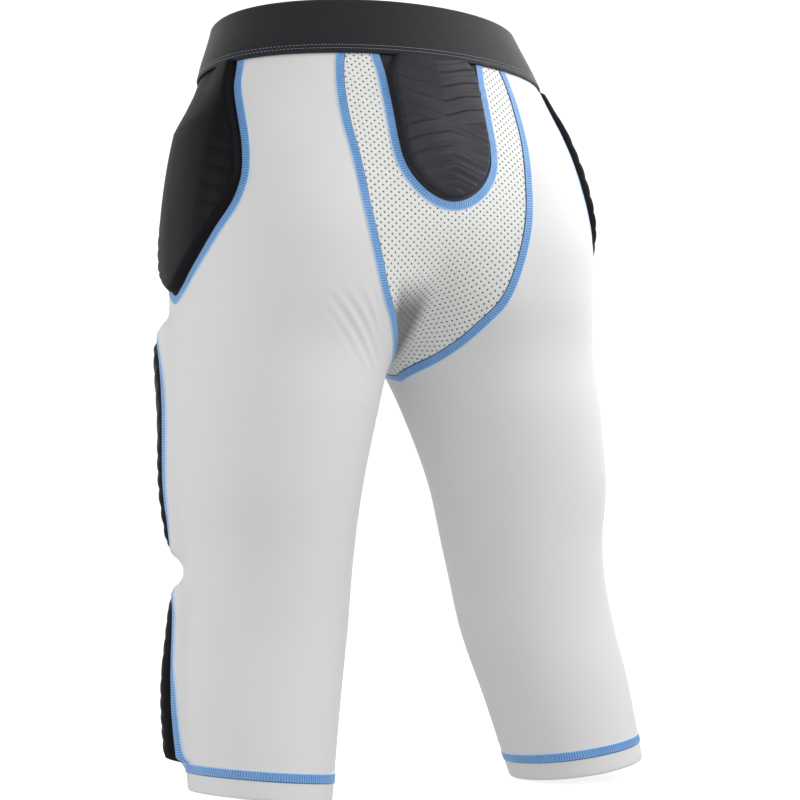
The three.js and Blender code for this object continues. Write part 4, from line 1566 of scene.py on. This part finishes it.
# %% [markdown]
# ## Floor
#
# The photograph has a white studio behind it and soft light from the right. A pale floor that curves up
# into a wall gives the same without a horizon, and a round wall further out does so from every other
# side, where only the camera sees it.

# %% Floor
FLOOR_GAP = 0.002
FLOOR_CURVE = 1.2
WALL_RADIUS = 6


def studio():
    f = Finish("floor")
    dust = f.noise(400, 2.0)
    pale = f.mix(dust, (0.62, 0.62, 0.62), (0.66, 0.66, 0.66))
    return f.finish(pale, None, Roughness=0.9, Emission_Color=(1, 1, 1, 1), Emission_Strength=0.8)


def strip(name, pairs, finish):
    """A smooth strip of faces between pairs of places."""
    points = [corner for pair in pairs for corner in pair]
    faces = [(2 * i, 2 * i + 1, 2 * i + 3, 2 * i + 2) for i in range(len(pairs) - 1)]
    mesh = bpy.data.meshes.new(name)
    mesh.from_pydata(points, [], faces)
    mesh.polygons.foreach_set("use_smooth", np.ones(len(faces), bool))
    mesh.materials.append(finish)
    made = bpy.data.objects.new(name, mesh)
    bpy.context.scene.collection.objects.link(made)
    made.visible_diffuse = False
    made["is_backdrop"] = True
    return made


def backdrop():
    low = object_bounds()[0][2] - FLOOR_GAP
    finish = studio()
    turns = np.linspace(0, math.pi / 2, 16)
    profile = [(3.5, low)]
    for t in turns:
        profile.append((-2.2 - FLOOR_CURVE * math.sin(t), low + FLOOR_CURVE * (1 - math.cos(t))))
    profile.append((-3.4, low + 5))
    strip("studio_floor", [((-6.0, y, z), (6.0, y, z)) for y, z in profile], finish)
    circle = np.linspace(0, 2 * math.pi, 49)
    around = [(WALL_RADIUS * math.cos(t), WALL_RADIUS * math.sin(t)) for t in circle]
    wall = strip("studio_wall", [((x, y, low - 3), (x, y, low + 6)) for x, y in around], finish)
    wall.visible_glossy = False
    wall.visible_transmission = False
    wall.visible_shadow = False
    return low


print("floor height", round(backdrop(), 4))

# %% [markdown]
# ## Light
#
# Wide area lights give soft shade. The key and rim lights stand on the photograph's right, two wider
# ones fill the left and the camera's side, and one lights the front, which other views show.

# %% Light
def soft_light(name, place_at, aim, size, power, colour=(1, 1, 1)):
    data = bpy.data.lights.new(name, "AREA")
    data.shape = "RECTANGLE"
    data.size, data.size_y = size
    data.energy = power
    data.color = colour
    light = bpy.data.objects.new(name, data)
    light.location = place_at
    light.rotation_euler = (Vector(aim) - Vector(place_at)).to_track_quat("-Z", "Y").to_euler()
    light.visible_camera = False
    bpy.context.scene.collection.objects.link(light)


world = bpy.data.worlds.new("studio")
world.use_nodes = True
world.node_tree.nodes["Background"].inputs["Color"].default_value = (1, 1, 1, 1)
world.node_tree.nodes["Background"].inputs["Strength"].default_value = 0.47
bpy.context.scene.world = world
bpy.context.scene.view_settings.view_transform = "Standard"
soft_light("key", (-0.7, 0.72, 0.32), (-0.05, 0.05, -0.15), (0.6, 0.7), 7.5)
soft_light("rim", (-1.1, 0.05, 0.3), (-0.1, 0.05, -0.05), (0.5, 0.6), 5)
soft_light("left", (1.46, -0.44, -0.2), (0.1, 0, -0.35), (0.9, 1.5), 8)
soft_light("camera_side", (1.3, 2.2, 0.1), (0, 0.05, -0.3), (1.2, 1.2), 17)
soft_light("front_right", (-1.6, -1.3, 0.1), (0, 0, -0.3), (1.2, 1.6), 12)
print("lights:", sorted(data.name for data in bpy.data.lights))

# %% [markdown]
# ## Camera
#
# The camera stands behind the left leg, a little below the hips, and looks slightly up with a long
# lens. Its distance, direction and focal length come from fitting the outline to the photograph, where
# the lens is given in the photograph's pixels.

# %% Camera
PHOTO_PIXELS = 800
PHOTO_CENTRE = 385.5
SENSOR = 36
CAMERA_BACK = 0.024
CAMERA_HEIGHT = -0.443
AZIMUTH = math.radians(28)
DISTANCE = 1.585
PITCH = math.radians(4.28)
ROLL = math.radians(-1.44)
FOCUS = 1835
data = bpy.data.cameras.new("camera")
data.sensor_width = SENSOR
data.lens = SENSOR * FOCUS / PHOTO_PIXELS
data.shift_x = (PHOTO_PIXELS / 2 - PHOTO_CENTRE) / PHOTO_PIXELS
data.clip_start = 0.05
data.clip_end = 50
camera = bpy.data.objects.new("camera", data)
bpy.context.scene.collection.objects.link(camera)
level = math.cos(PITCH)
ahead = Vector((-math.sin(AZIMUTH) * level, -math.cos(AZIMUTH) * level, math.sin(PITCH)))
right = Vector((-math.cos(AZIMUTH), math.sin(AZIMUTH), 0))
up = right.cross(ahead)
rolled_right = right * math.cos(ROLL) + up * math.sin(ROLL)
rolled_up = up * math.cos(ROLL) - right * math.sin(ROLL)
turn = Matrix((rolled_right, rolled_up, -ahead)).transposed()
stand = (math.sin(AZIMUTH) * DISTANCE, math.cos(AZIMUTH) * DISTANCE + CAMERA_BACK, CAMERA_HEIGHT)
camera.matrix_world = Matrix.Translation(stand) @ turn.to_4x4()
bpy.context.scene.camera = camera
print("camera at", [round(v, 3) for v in camera.location])
